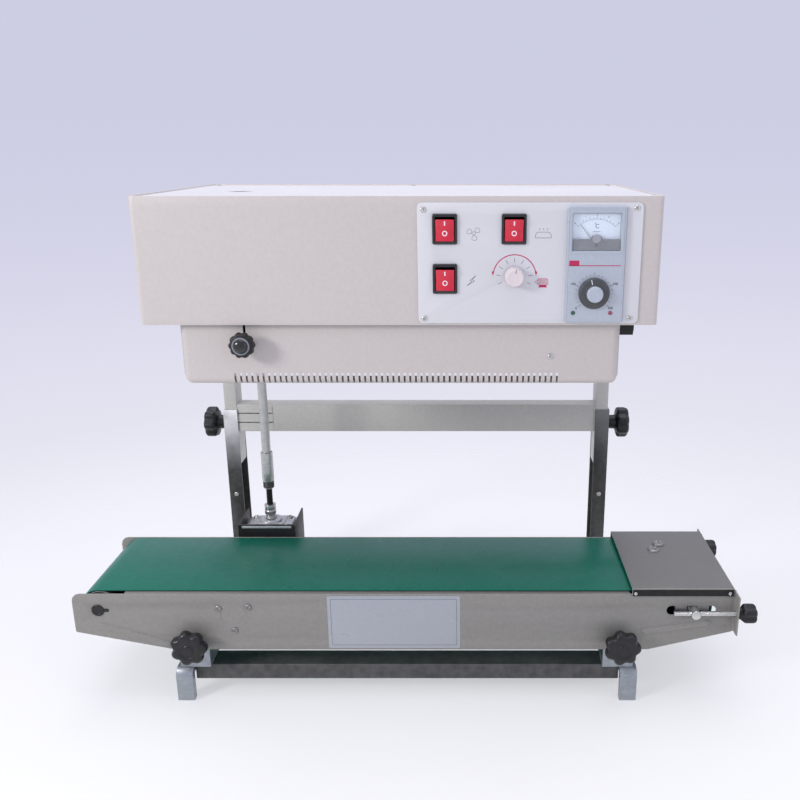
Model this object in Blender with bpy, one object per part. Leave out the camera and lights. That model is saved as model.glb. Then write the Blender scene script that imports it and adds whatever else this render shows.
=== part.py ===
"""Vertical continuous band sealer: control head on a lifting frame, belt conveyor and skid base.

Every size below is in millimetres in the machine's own frame, and MM turns it into metres when a mesh is
written. X runs along the conveyor, Y from the operator's side to the back, Z up. X = 0 is the middle of the
stand, Y = 0 is the front face of the conveyor's front side plate, and Z = 0 is the bench. The whole machine
hangs under one empty that moves this frame so that its bounding box is centred over the origin.
"""

from math import cos, pi, radians, sin

import bmesh
import bpy
from mathutils import Vector
from mathutils.geometry import tessellate_polygon

MM = 0.001
GAP = 0.3
OVERLAP = 2.0

# Overall box, used to centre the machine over the origin.
LEFT_END = -388.0
RIGHT_END = 407.0
FRONT_END = -24.0
REAR_END = 350.0

# Stand.
STANCE_HALF = 275.0
SKID_WIDTH = 20.0
SKID_HEIGHT = 42.0
SKID_SHEET = 2.0
SKID_FLANGE = 9.0
SKID_BEND = 10.0
SKID_FRONT = -4.0
RAIL_HEIGHT = 20.0
RAIL_DEPTH = 30.0
RAIL_WALL = 2.0
RAIL_FRONT_Y = 8.0
RAIL_REAR_Y = 312.0
POST_WIDTH = 20.0
POST_FRONT = 272.0
POST_DEPTH = 36.0
POST_WALL = 2.0
POST_TOP = 280.5

# Lifting frame that carries the head.
LIFT_BOTTOM = 198.0
LIFT_WALL = 2.0
CROSSBAR_BOTTOM = 247.5
CROSSBAR_HEIGHT = 40.0
CROSSBAR_DEPTH = 24.0
CROSSBAR_WALL = 2.5
HEIGHT_KNOB_Z = 257.0

# Head box.
HEAD_HALF = 273.8
HEAD_FRONT = 3.0
HEAD_REAR = 310.0
HEAD_BOTTOM = 457.3
HEAD_TOP = 590.5
HEAD_SHEET = 1.5
HEAD_CORNER = 6.0
HEAD_PLATE = 4.0
COVER_RECESS = 1.5
FAN_X = -191.5
FAN_Y = 142.0
FAN_HOLE = 16.0
FAN_FRAME = 50.0

# Control panel on the head's front.
PANEL_LEFT = 21.0
PANEL_RIGHT = 252.0
PANEL_BOTTOM = 459.5
PANEL_TOP = 584.0
PANEL_SHEET = 1.5
ROCKER_PLACES = {
    "rocker_cooler": (49.3, 557.5),
    "rocker_heater": (120.3, 557.5),
    "rocker_power": (49.3, 506.6),
}
ROCKER_WIDTH = 19.0
ROCKER_HEIGHT = 23.0
ROCKER_REST_TILT = 9.0
SPEED_X = 121.4
SPEED_Z = 509.1
CONTROLLER_X = 205.0
CONTROLLER_Z = 520.5
CONTROLLER_WIDTH = 60.0
CONTROLLER_HEIGHT = 120.0
DIAL_Z = 492.2
METER_Z = 553.5
NEEDLE_REST = 38.0

# Sealing unit under the head.
BAND_LINE_Y = 80.0
BAND_Z = 425.0
BAND_HEIGHT = 15.0
BAND_SHEET = 0.6
WHEEL_RADIUS = 31.5
WHEEL_LEFT_X = -104.0
WHEEL_RIGHT_X = 190.0
PRESS_X = -166.6
PRESS_RADIUS = 24.0
GEAR_TEETH = 24
PINION_TEETH = 12
GEAR_Z = (465.0, 473.0)
GUARD_HALF = 236.0
GUARD_FRONT = 12.0
GUARD_REAR = 45.0
GUARD_BOTTOM = 389.6
GUARD_SHEET = 1.2
GUARD_BEND = 8.0
VENT_COUNT = 58
VENT_FIRST_X = -180.0
VENT_LAST_X = 170.0
PRESSURE_KNOB_Z = 437.0
INLET_LEFT = 238.0
INLET_RIGHT = 262.0

# Conveyor.
PLATE_SHEET = 1.5
PLATE_BOTTOM = 67.5
PLATE_TOP = 140.5
CONVEYOR_DEPTH = 152.0
ROLLER_RADIUS = 21.0
ROLLER_Z = 119.5
ROLLER_LEFT_X = -358.9
ROLLER_RIGHT_X = 337.0
DRIVE_X = -201.6
DRIVE_Z = 113.0
BELT_SHEET = 1.8
BELT_INSET = 6.5
COVER_LEFT = 263.5
COVER_RIGHT = 382.0
TENSION_Y = 8.0
CLAMP_X = 252.0
CLAMP_Z = 80.0
CLAMP_SLOT_REACH = 10.0

# Drive between the head and the belt.
SHAFT_X = -194.0
SHAFT_Y = 180.0
SPROCKET_Z = (480.0, 485.0)
SPROCKET_RADIUS = 13.0

FINISHES = {
    "paint": ((0.56, 0.53, 0.50), 0.0, 0.45),
    "steel": ((0.36, 0.36, 0.35), 0.9, 0.4),
    "galvanised": ((0.45, 0.50, 0.52), 0.8, 0.5),
    "stainless": ((0.42, 0.43, 0.43), 1.0, 0.3),
    "aluminium": ((0.70, 0.71, 0.75), 0.9, 0.35),
    "brass": ((0.60, 0.45, 0.22), 1.0, 0.35),
    "black_plastic": ((0.02, 0.02, 0.022), 0.0, 0.4),
    "white_plastic": ((0.80, 0.80, 0.78), 0.0, 0.35),
    "grey_plastic": ((0.55, 0.57, 0.60), 0.0, 0.45),
    "red_plastic": ((0.75, 0.02, 0.05), 0.0, 0.25),
    "rubber": ((0.05, 0.05, 0.05), 0.0, 0.8),
    "belt": ((0.0, 0.16, 0.10), 0.0, 0.2),
    "ptfe": ((0.42, 0.27, 0.14), 0.0, 0.5),
    "motor": ((0.08, 0.09, 0.10), 0.4, 0.5),
}


def clear_scene():
    """Take out whatever the file opened with."""
    for item in list(bpy.data.objects):
        bpy.data.objects.remove(item, do_unlink=True)


def material_for(name, finish):
    """Make one Principled material for one piece."""
    colour, metallic, roughness = FINISHES[finish]
    material = bpy.data.materials.new(name + "_finish")
    material.use_nodes = True
    shader = material.node_tree.nodes["Principled BSDF"]
    shader.inputs["Base Color"].default_value = (*colour, 1.0)
    shader.inputs["Metallic"].default_value = metallic
    shader.inputs["Roughness"].default_value = roughness
    material.diffuse_color = (*colour, 1.0)
    return material


# ---------------------------------------------------------------------------------------------------
# Shapes. Each returns a bmesh in machine millimetres.


def on_axis(axis, along, across, up):
    """Put a point given along an axis and in the plane across it into X, Y, Z order."""
    if axis == "X":
        return Vector((along, across, up))
    if axis == "Y":
        return Vector((across, along, up))
    return Vector((across, up, along))


def close_faces(shape):
    """Turn the faces of a closed shape outwards."""
    bmesh.ops.recalc_face_normals(shape, faces=shape.faces[:])
    return shape


def plate(outline, axis, low, high, holes=()):
    """Extrude a flat outline with holes along an axis."""
    shape = bmesh.new()
    loops = [list(outline)] + [list(hole) for hole in holes]
    lower = [shape.verts.new(on_axis(axis, low, *point)) for loop in loops for point in loop]
    upper = [shape.verts.new(on_axis(axis, high, *point)) for loop in loops for point in loop]
    for triangle in tessellate_polygon([[Vector((a, b, 0.0)) for a, b in loop] for loop in loops]):
        shape.faces.new([lower[index] for index in triangle])
        shape.faces.new([upper[index] for index in reversed(triangle)])
    start = 0
    for loop in loops:
        count = len(loop)
        for step in range(count):
            here = start + step
            there = start + (step + 1) % count
            shape.faces.new((lower[here], lower[there], upper[there], upper[here]))
        start += count
    return close_faces(shape)


def loft(rings, closed=False):
    """Join rings of equal length into one skin, with flat ends unless the rings close on themselves."""
    shape = bmesh.new()
    loops = [[shape.verts.new(point) for point in ring] for ring in rings]
    pairs = list(zip(loops, loops[1:]))
    if closed:
        pairs.append((loops[-1], loops[0]))
    for one, two in pairs:
        count = len(one)
        for step in range(count):
            after = (step + 1) % count
            shape.faces.new((one[step], one[after], two[after], two[step]))
    if not closed:
        shape.faces.new(loops[0])
        shape.faces.new(list(reversed(loops[-1])))
    return close_faces(shape)


def turned(centre, axis, profile, segments=16, closed=False):
    """Turn a profile of (place along the axis, radius) steps about an axis through the centre."""
    across, up = centre
    rings = []
    for along, radius in profile:
        angles = [2.0 * pi * step / segments for step in range(segments)]
        rings.append([on_axis(axis, along, across + radius * cos(a), up + radius * sin(a)) for a in angles])
    return loft(rings, closed)


def knob(centre, axis, profile, lobes=7, per_lobe=3, depth=0.16):
    """Turn a profile of (place, radius, lobed) steps, where lobed steps swell into a star."""
    across, up = centre
    segments = lobes * per_lobe
    rings = []
    for along, radius, lobed in profile:
        ring = []
        for step in range(segments):
            angle = 2.0 * pi * step / segments
            swell = 1.0 - depth * (0.5 - 0.5 * cos(lobes * angle)) if lobed else 1.0
            reach = radius * swell
            ring.append(on_axis(axis, along, across + reach * cos(angle), up + reach * sin(angle)))
        rings.append(ring)
    return loft(rings)


def block(low, high):
    """Make a plain box between two corners."""
    outline = rectangle(low[0], low[1], high[0], high[1])
    return plate(outline, "Z", low[2], high[2])


def stepped_block(steps):
    """Loft rectangles (y, low x, low z, high x, high z) one behind the other."""
    rings = []
    for y, x_low, z_low, x_high, z_high in steps:
        rings.append([Vector((x, y, z)) for x, z in rectangle(x_low, z_low, x_high, z_high)])
    return loft(rings)


def rectangle(a_low, b_low, a_high, b_high):
    """Corners of a rectangle, anticlockwise."""
    return [(a_low, b_low), (a_high, b_low), (a_high, b_high), (a_low, b_high)]


def circle(a, b, radius, segments=12):
    """Points of a circle."""
    angles = [2.0 * pi * step / segments for step in range(segments)]
    return [(a + radius * cos(angle), b + radius * sin(angle)) for angle in angles]


def swung(spoke, angle):
    """Turn a flat vector anticlockwise."""
    return Vector((spoke.x * cos(angle) - spoke.y * sin(angle), spoke.x * sin(angle) + spoke.y * cos(angle)))


def rounded(corners, radii, steps=3):
    """Round the corners of a polygon with arcs of the given radii."""
    points = []
    count = len(corners)
    for index, (a, b) in enumerate(corners):
        corner = Vector((a, b))
        if radii[index] == 0.0:
            points.append((a, b))
            continue
        before = (Vector(corners[index - 1]) - corner).normalized()
        after = (Vector(corners[(index + 1) % count]) - corner).normalized()
        half = before.angle(after) / 2.0
        setback = radii[index] / (sin(half) / cos(half))
        middle = corner + (before + after).normalized() * (radii[index] / sin(half))
        start = corner + before * setback - middle
        turn = start.angle_signed(corner + after * setback - middle)
        for step in range(steps + 1):
            spoke = swung(start, -turn * step / steps)
            points.append((middle.x + spoke.x, middle.y + spoke.y))
    return points


def long_hole(a, b, radius, reach, upright=False):
    """A slot with round ends, centred on a point, its end centres reach away on each side."""
    if upright:
        corners = rectangle(a - radius, b - reach - radius, a + radius, b + reach + radius)
    else:
        corners = rectangle(a - reach - radius, b - radius, a + reach + radius, b + radius)
    return rounded(corners, [radius * 0.98] * 4, 3)


def loop_outline(centres, radius, arc_steps=8):
    """Outline of a band laid around equal round wheels, taken anticlockwise."""
    points = []
    count = len(centres)
    for index, centre in enumerate(centres):
        middle = Vector(centre)
        arriving = middle - Vector(centres[index - 1])
        leaving = Vector(centres[(index + 1) % count]) - middle
        first = Vector((arriving.y, -arriving.x)).normalized()
        sweep = arriving.angle(leaving)
        steps = max(1, round(abs(sweep) / pi * arc_steps * 2))
        for step in range(steps + 1):
            spoke = swung(first, sweep * step / steps)
            points.append((middle.x + radius * spoke.x, middle.y + radius * spoke.y))
    return points


def gear_outline(x, y, teeth, module, phase):
    """Outline of a spur gear with straight-sided teeth; phase is the direction of one tooth's middle."""
    pitch = teeth * module / 2.0
    tip = pitch + 0.8 * module
    root = pitch - 1.1 * module
    points = []
    for tooth in range(teeth):
        middle = phase + 2.0 * pi * tooth / teeth
        for radius, share in ((root, -0.30), (tip, -0.13), (tip, 0.13), (root, 0.30)):
            angle = middle + share * 2.0 * pi / teeth
            points.append((x + radius * cos(angle), y + radius * sin(angle)))
    return points


# ---------------------------------------------------------------------------------------------------
# Pieces. A shape becomes an object with its own material under the machine's empty.


def merge(shapes):
    """Put several shapes into one, for a cutter made of separate bodies."""
    whole = shapes[0]
    for extra in shapes[1:]:
        mesh = bpy.data.meshes.new("extra")
        extra.to_mesh(mesh)
        whole.from_mesh(mesh)
        extra.free()
        bpy.data.meshes.remove(mesh)
    return whole


def tool(machine, name, shape):
    """Make a hidden guide object for a Boolean."""
    item = make_object(machine, name, shape, (0.0, 0.0, 0.0))
    item.hide_render = True
    item.display_type = "WIRE"
    return item


def make_object(machine, name, shape, pivot):
    """Write a shape into a mesh in metres about its pivot and hang it under the machine."""
    offset = Vector(pivot)
    for vertex in shape.verts:
        vertex.co = (vertex.co - offset) * MM
    mesh = bpy.data.meshes.new(name)
    shape.to_mesh(mesh)
    shape.free()
    item = bpy.data.objects.new(name, mesh)
    item.location = offset * MM
    item.parent = machine
    bpy.context.scene.collection.objects.link(item)
    return item


def piece(machine, name, finish, shape, pivot=(0.0, 0.0, 0.0), smooth=False, cut=(), join=()):
    """Make one named piece, with holes cut by shapes and lumps joined to it."""
    item = make_object(machine, name, shape, pivot)
    item.data.materials.append(material_for(name, finish))
    if smooth:
        item.data.shade_smooth()
        item.data.set_sharp_from_angle(angle=radians(35.0))
    for index, lump in enumerate(join):
        add_boolean(item, "UNION", tool(machine, f"{name}_lump_{index}", lump))
    if cut:
        add_boolean(item, "DIFFERENCE", tool(machine, f"{name}_cutter", merge(list(cut))))
    return item


def add_boolean(item, operation, other):
    """Join or cut a piece with a guide object."""
    modifier = item.modifiers.new(operation.title(), "BOOLEAN")
    modifier.operation = operation
    modifier.solver = "EXACT"
    modifier.object = other


# ---------------------------------------------------------------------------------------------------
# Stand.


def skid_rings(side):
    """Carry the skid's channel section up the front foot, along the top and down the rear foot."""
    x = side * (STANCE_HALF - SKID_WIDTH / 2.0)
    half = SKID_WIDTH / 2.0
    section = [
        (-half, 0.0), (half, 0.0), (half, SKID_FLANGE), (half - SKID_SHEET, SKID_FLANGE),
        (half - SKID_SHEET, SKID_SHEET), (SKID_SHEET - half, SKID_SHEET),
        (SKID_SHEET - half, SKID_FLANGE), (-half, SKID_FLANGE),
    ]
    bend_z = SKID_HEIGHT - SKID_BEND
    bend_steps = 4
    stations = [(SKID_FRONT, 0.0, 1.0, 0.0)]
    for bend_y, first in ((SKID_FRONT + SKID_BEND, pi), (REAR_END - SKID_BEND, pi / 2.0)):
        for step in range(bend_steps + 1):
            angle = first - step / bend_steps * pi / 2.0
            out_y = cos(angle)
            out_z = sin(angle)
            stations.append((bend_y + SKID_BEND * out_y, bend_z + SKID_BEND * out_z, -out_y, -out_z))
    stations.append((REAR_END, 0.0, -1.0, 0.0))
    rings = []
    for y, z, in_y, in_z in stations:
        rings.append([Vector((x + across, y + in_y * depth, z + in_z * depth)) for across, depth in section])
    return rings


def build_stand(machine):
    """Skids, cross rails, post channels and the conveyor's slotted brackets."""
    inner = STANCE_HALF - SKID_WIDTH
    for side, word in ((-1, "left"), (1, "right")):
        piece(machine, f"skid_{word}", "galvanised", loft(skid_rings(side)))
    for word, front in (("front", RAIL_FRONT_Y), ("rear", RAIL_REAR_Y)):
        outer = rectangle(front, SKID_HEIGHT - RAIL_HEIGHT, front + RAIL_DEPTH, SKID_HEIGHT)
        hollow = rectangle(
            front + RAIL_WALL, SKID_HEIGHT - RAIL_HEIGHT + RAIL_WALL,
            front + RAIL_DEPTH - RAIL_WALL, SKID_HEIGHT - RAIL_WALL,
        )
        rail = plate(outer, "X", GAP - inner, inner - GAP, [hollow])
        piece(machine, f"{word}_cross_rail", "steel", rail)
    for side, word in ((-1, "left"), (1, "right")):
        build_post(machine, side, word)
        build_bracket(machine, side, word)


def build_post(machine, side, word):
    """A channel that opens towards the middle, with a clearance hole for the height knob's stud."""
    outer = side * STANCE_HALF
    mouth = side * (STANCE_HALF - POST_WIDTH)
    web = side * (STANCE_HALF - POST_WALL)
    rear = POST_FRONT + POST_DEPTH
    outline = [
        (outer, POST_FRONT), (outer, rear), (mouth, rear), (mouth, rear - POST_WALL),
        (web, rear - POST_WALL), (web, POST_FRONT + POST_WALL),
        (mouth, POST_FRONT + POST_WALL), (mouth, POST_FRONT),
    ]
    centre = (POST_FRONT + POST_DEPTH / 2.0, HEIGHT_KNOB_Z)
    ends = sorted((outer + side * OVERLAP, web - side * OVERLAP))
    hole = turned(centre, "X", [(ends[0], 4.4), (ends[1], 4.4)], 12)
    post = plate(outline, "Z", SKID_HEIGHT + GAP, POST_TOP)
    piece(machine, f"post_channel_{word}", "steel", post, cut=[hole])


def build_bracket(machine, side, word):
    """A strap folded up at both ends, slotted for the conveyor's clamp screws."""
    sheet = 2.8
    front = PLATE_SHEET + 0.7
    rear = CONVEYOR_DEPTH - front
    floor = SKID_HEIGHT + GAP
    top = 108.0
    outline = [
        (front, floor), (rear, floor), (rear, top), (rear - sheet, top),
        (rear - sheet, floor + sheet), (front + sheet, floor + sheet), (front + sheet, top), (front, top),
    ]
    low, high = sorted((side * (CLAMP_X - 18.0), side * (CLAMP_X + 18.0)))
    slots = []
    for y in (front, rear - sheet):
        slot = long_hole(side * CLAMP_X, CLAMP_Z, 4.6, CLAMP_SLOT_REACH, upright=True)
        slots.append(plate(slot, "Y", y - OVERLAP, y + sheet + OVERLAP))
    piece(machine, f"conveyor_bracket_{word}", "galvanised", plate(outline, "X", low, high), cut=slots)


# ---------------------------------------------------------------------------------------------------
# Conveyor.


def plate_outline():
    """Side plate seen from the front: level top, sloped lower corners, rounded upper left corner."""
    corners = [
        (-274.0, PLATE_BOTTOM), (286.0, PLATE_BOTTOM), (385.0, 92.0), (385.0, 145.5), (381.0, 145.5),
        (379.0, PLATE_TOP), (LEFT_END, PLATE_TOP), (LEFT_END, 91.0),
    ]
    return rounded(corners, [0.0, 0.0, 2.0, 1.5, 0.0, 0.0, 9.0, 2.0], 3)


def build_side_plate(machine, word):
    """One conveyor side plate with its inward top flange and outward end tab."""
    front = word == "front"
    low = 0.0 if front else CONVEYOR_DEPTH - PLATE_SHEET
    inward = 1.0 if front else -1.0
    outer = 0.0 if front else CONVEYOR_DEPTH
    holes = [
        long_hole(ROLLER_RIGHT_X - 3.0, ROLLER_Z, 6.0, 23.0),
        circle(ROLLER_LEFT_X, ROLLER_Z, 6.0),
        circle(-CLAMP_X, CLAMP_Z, 4.4),
        circle(CLAMP_X, CLAMP_Z, 4.4),
    ]
    if not front:
        holes.append(circle(DRIVE_X, DRIVE_Z, 9.0))
    face = plate(plate_outline(), "Y", low, low + PLATE_SHEET, holes)
    flange_ends = sorted((outer + inward * 0.5, outer + inward * 14.0))
    flange = block((-327.0, flange_ends[0], PLATE_TOP - 1.8), (262.0, flange_ends[1], PLATE_TOP - 0.3))
    tab_ends = sorted((outer - inward * 17.0, outer + inward * 0.8))
    tab = block((383.0, tab_ends[0], 96.0), (384.6, tab_ends[1], 144.5))
    bore = turned((outer - inward * TENSION_Y, ROLLER_Z), "X", [(381.0, 3.6), (387.0, 3.6)], 12)
    piece(machine, f"conveyor_side_{word}", "paint", face, join=[flange, tab], cut=[bore])


def build_conveyor(machine):
    """Side plates, deck, belt, rollers, cover, tension screws, clamp knobs and the belt's gearbox."""
    build_side_plate(machine, "front")
    build_side_plate(machine, "rear")
    deck_front = 15.0
    deck_rear = CONVEYOR_DEPTH - deck_front
    deck_top = PLATE_TOP - 0.3
    section = [
        (deck_front, deck_top), (deck_front, deck_top - 4.8), (deck_front + 1.2, deck_top - 4.8),
        (deck_front + 1.2, deck_top - 1.2), (deck_rear - 1.2, deck_top - 1.2),
        (deck_rear - 1.2, deck_top - 4.8), (deck_rear, deck_top - 4.8), (deck_rear, deck_top),
    ]
    piece(machine, "conveyor_deck", "galvanised", plate(section, "X", -325.0, 300.0))
    centres = [(ROLLER_LEFT_X, ROLLER_Z), (DRIVE_X, DRIVE_Z), (ROLLER_RIGHT_X, ROLLER_Z)]
    inside = loop_outline(centres, ROLLER_RADIUS + GAP)
    outside = loop_outline(centres, ROLLER_RADIUS + GAP + BELT_SHEET)
    belt = plate(outside, "Y", BELT_INSET, CONVEYOR_DEPTH - BELT_INSET, [inside])
    piece(machine, "conveyor_belt", "belt", belt, smooth=True)
    build_end_cover(machine)
    build_rollers(machine)
    build_tension_knobs(machine)
    for side, word in ((-1, "left"), (1, "right")):
        profile = [(6.2, 3.9, 0), (-1.0, 3.9, 0), (-1.0, 9.0, 0), (-9.0, 10.0, 0), (-10.0, 21.5, 1),
                   (-21.0, 21.5, 1), (FRONT_END, 18.0, 1)]
        shape = knob((side * CLAMP_X, CLAMP_Z), "Y", profile)
        pivot = (side * CLAMP_X, 0.0, CLAMP_Z)
        piece(machine, f"conveyor_knob_{word}", "black_plastic", shape, pivot, smooth=True)
    build_gearbox(machine)


def build_end_cover(machine):
    """Folded plate over the belt's tension end, with a lip down both sides."""
    sheet = 1.2
    front = -2.0
    rear = CONVEYOR_DEPTH + 2.0
    top = 148.2
    lip = 138.2
    section = [
        (front, top), (front, lip), (front + sheet, lip), (front + sheet, top - sheet),
        (rear - sheet, top - sheet), (rear - sheet, lip), (rear, lip), (rear, top),
    ]
    piece(machine, "end_cover", "stainless", plate(section, "X", COVER_LEFT, COVER_RIGHT))


def build_rollers(machine):
    """Drive roller, plain end roller, and the tension end's roller on its fixed axle."""
    low = BELT_INSET + 1.0
    high = CONVEYOR_DEPTH - low
    outer = ROLLER_RADIUS
    drive = [(PLATE_SHEET + GAP, 7.0), (low, 7.0), (low, outer), (high, outer), (high, 7.0), (154.0, 7.0)]
    shape = turned((DRIVE_X, DRIVE_Z), "Y", drive, 20)
    piece(machine, "drive_roller", "rubber", shape, (DRIVE_X, 0.0, DRIVE_Z), smooth=True)
    plain = [(0.4, 5.0), (low, 5.0), (low, outer), (high, outer), (high, 5.0), (CONVEYOR_DEPTH - 0.4, 5.0)]
    shape = turned((ROLLER_LEFT_X, ROLLER_Z), "Y", plain, 20)
    piece(machine, "end_roller_left", "steel", shape, (ROLLER_LEFT_X, 0.0, ROLLER_Z), smooth=True)
    shell = [(low, outer), (high, outer), (high, 6.4), (low, 6.4)]
    shape = turned((ROLLER_RIGHT_X, ROLLER_Z), "Y", shell, 20, closed=True)
    piece(machine, "end_roller_right", "steel", shape, (ROLLER_RIGHT_X, 0.0, ROLLER_Z), smooth=True)
    reach = TENSION_Y + 5.5
    axle = turned((ROLLER_RIGHT_X, ROLLER_Z), "Y", [(-reach, 5.6), (CONVEYOR_DEPTH + reach, 5.6)], 16)
    bores = []
    for y in (-TENSION_Y, CONVEYOR_DEPTH + TENSION_Y):
        span = [(ROLLER_RIGHT_X - 8.0, 3.4), (ROLLER_RIGHT_X + 8.0, 3.4)]
        bores.append(turned((y, ROLLER_Z), "X", span, 12))
    pivot = (ROLLER_RIGHT_X, 0.0, ROLLER_Z)
    piece(machine, "tension_axle", "steel", axle, pivot, smooth=True, cut=bores)


def build_tension_knobs(machine):
    """Screws that pass through the end tabs and draw the axle, with black knobs outside."""
    for y, word in ((-TENSION_Y, "front"), (CONVEYOR_DEPTH + TENSION_Y, "rear")):
        profile = [(312.0, 3.0, 0), (386.0, 3.0, 0), (386.0, 6.0, 0), (390.0, 7.0, 0), (390.5, 11.5, 1),
                   (403.0, 11.5, 1), (RIGHT_END, 8.5, 1)]
        shape = knob((y, ROLLER_Z), "X", profile, lobes=5, depth=0.14)
        pivot = (RIGHT_END, y, ROLLER_Z)
        piece(machine, f"tension_knob_{word}", "black_plastic", shape, pivot, smooth=True)


def build_gearbox(machine):
    """Right-angle gearbox behind the belt, its folded bracket and the lower half of the drive shaft."""
    front = CONVEYOR_DEPTH + GAP
    sheet = 2.0
    left = SHAFT_X - 38.0
    right = SHAFT_X + 38.0
    outline = [
        (left, front), (right, front), (right, front + 56.0), (right - sheet, front + 56.0),
        (right - sheet, front + sheet), (left + sheet, front + sheet), (left + sheet, front + 56.0),
        (left, front + 56.0),
    ]
    hole = turned((DRIVE_X, DRIVE_Z), "Y", [(front - OVERLAP, 9.0), (front + sheet + OVERLAP, 9.0)], 12)
    piece(machine, "gearbox_bracket", "steel", plate(outline, "Z", 84.0, 158.0), cut=[hole])
    low_y = front + sheet + GAP
    body = block((left + sheet + 2.0, low_y, 88.0), (right - sheet - 2.0, low_y + 50.0, 146.0))
    boss = turned((SHAFT_X, SHAFT_Y), "Z", [(140.0, 14.0), (154.0, 14.0)], 16)
    piece(machine, "belt_gearbox", "aluminium", body, join=[boss])
    lower = [(154.4, 6.2), (163.0, 6.2), (163.0, 7.6), (176.0, 7.6), (176.0, 4.0), (300.0, 4.0)]
    shape = turned((SHAFT_X, SHAFT_Y), "Z", lower, 12)
    piece(machine, "drive_shaft_lower", "steel", shape, (SHAFT_X, SHAFT_Y, 154.4), smooth=True)


# ---------------------------------------------------------------------------------------------------
# Head.

def build_lift_frame(machine):
    """Two tubes that slide in the post channels, joined by a channel crossbar."""
    rear = POST_FRONT + POST_DEPTH - POST_WALL - 0.4
    front = POST_FRONT + POST_WALL + 0.4
    outer = STANCE_HALF - POST_WALL - 0.4
    inner = STANCE_HALF - POST_WIDTH + 0.5
    tubes = []
    for side in (-1, 1):
        low, high = sorted((side * outer, side * inner))
        hollow = rectangle(low + LIFT_WALL, front + LIFT_WALL, high - LIFT_WALL, rear - LIFT_WALL)
        tubes.append(plate(rectangle(low, front, high, rear), "Z", LIFT_BOTTOM, HEAD_BOTTOM - GAP, [hollow]))
    low_z = CROSSBAR_BOTTOM
    high_z = CROSSBAR_BOTTOM + CROSSBAR_HEIGHT
    bar_front = front + 1.0
    bar_rear = bar_front + CROSSBAR_DEPTH
    wall = CROSSBAR_WALL
    section = [
        (bar_front, low_z), (bar_rear, low_z), (bar_rear, low_z + wall), (bar_front + wall, low_z + wall),
        (bar_front + wall, high_z - wall), (bar_rear, high_z - wall), (bar_rear, high_z), (bar_front, high_z),
    ]
    bar = plate(section, "X", -inner - 1.0, inner + 1.0)
    piece(machine, "lift_frame", "paint", bar, join=tubes)
    for side, word in ((-1, "left"), (1, "right")):
        face = side * STANCE_HALF
        profile = [(face - side * 1.8, 4.0, 0), (face + side * 0.5, 4.0, 0), (face + side * 0.5, 9.0, 0),
                   (face + side * 13.0, 10.0, 0), (face + side * 14.0, 22.0, 1),
                   (face + side * 27.0, 22.0, 1), (face + side * 30.0, 18.0, 1)]
        centre = (POST_FRONT + POST_DEPTH / 2.0, HEIGHT_KNOB_Z)
        shape = knob(centre, "X", profile)
        piece(machine, f"height_knob_{word}", "black_plastic", shape, (face, *centre), smooth=True)


def build_head_box(machine):
    """Frame plate, wrapped housing, recessed top cover and the cooling fan under its hole."""
    low = HEAD_BOTTOM
    outer = rounded(rectangle(-HEAD_HALF, HEAD_FRONT, HEAD_HALF, HEAD_REAR), [HEAD_CORNER] * 4)
    wall = HEAD_SHEET
    inside = rectangle(-HEAD_HALF + wall, HEAD_FRONT + wall, HEAD_HALF - wall, HEAD_REAR - wall)
    inner = rounded(inside, [HEAD_CORNER - wall] * 4)
    window_low = (PANEL_LEFT + 9.0, -OVERLAP, PANEL_BOTTOM + 4.0)
    window_high = (PANEL_RIGHT - 12.0, HEAD_FRONT + HEAD_CORNER, PANEL_TOP - 6.0)
    housing = plate(outer, "Z", low, HEAD_TOP, [inner])
    piece(machine, "head_housing", "paint", housing, cut=[block(window_low, window_high)])
    edge = wall + GAP
    corners = rectangle(-HEAD_HALF + edge, HEAD_FRONT + edge, HEAD_HALF - edge, HEAD_REAR - edge)
    sheet_outline = rounded(corners, [HEAD_CORNER - edge] * 4)
    wheel_front, wheel_rear = wheel_rows()
    shafts = [circle(x, y, 6.4) for x in (WHEEL_LEFT_X, WHEEL_RIGHT_X) for y in (wheel_front, wheel_rear)]
    shafts += [circle(PRESS_X, y, 5.4) for y in press_rows()]
    shafts.append(circle(SHAFT_X, SHAFT_Y, 8.0))
    shafts.append(circle(WHEEL_LEFT_X, wheel_rear + gear_distance(), 6.4))
    base = plate(sheet_outline, "Z", low, low + HEAD_PLATE, shafts)
    piece(machine, "head_plate", "steel", base)
    top = HEAD_TOP - COVER_RECESS
    cover = plate(sheet_outline, "Z", top - 1.5, top, [circle(FAN_X, FAN_Y, FAN_HOLE, 20)])
    piece(machine, "top_cover", "paint", cover)
    fan_top = top - 1.5 - GAP
    half = FAN_FRAME / 2.0
    frame = rectangle(FAN_X - half, FAN_Y - half, FAN_X + half, FAN_Y + half)
    ring = plate(rounded(frame, [4.0] * 4, 2), "Z", fan_top - 14.0, fan_top, [circle(FAN_X, FAN_Y, 22.5, 20)])
    piece(machine, "fan_frame", "black_plastic", ring)
    piece(machine, "fan_rotor", "black_plastic", fan_rotor(fan_top), (FAN_X, FAN_Y, fan_top))


def fan_rotor(top):
    """Hub with five paddles, drawn as one outline and extruded."""
    points = []
    for blade in range(5):
        start = 2.0 * pi * blade / 5.0
        for radius, share in ((9.0, 0.00), (21.0, 0.16), (21.0, 0.26), (9.0, 0.12), (8.5, 0.14)):
            angle = start + share * 2.0 * pi
            points.append((FAN_X + radius * cos(angle), FAN_Y + radius * sin(angle)))
    return plate(points, "Z", top - 12.0, top - 3.0)


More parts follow.
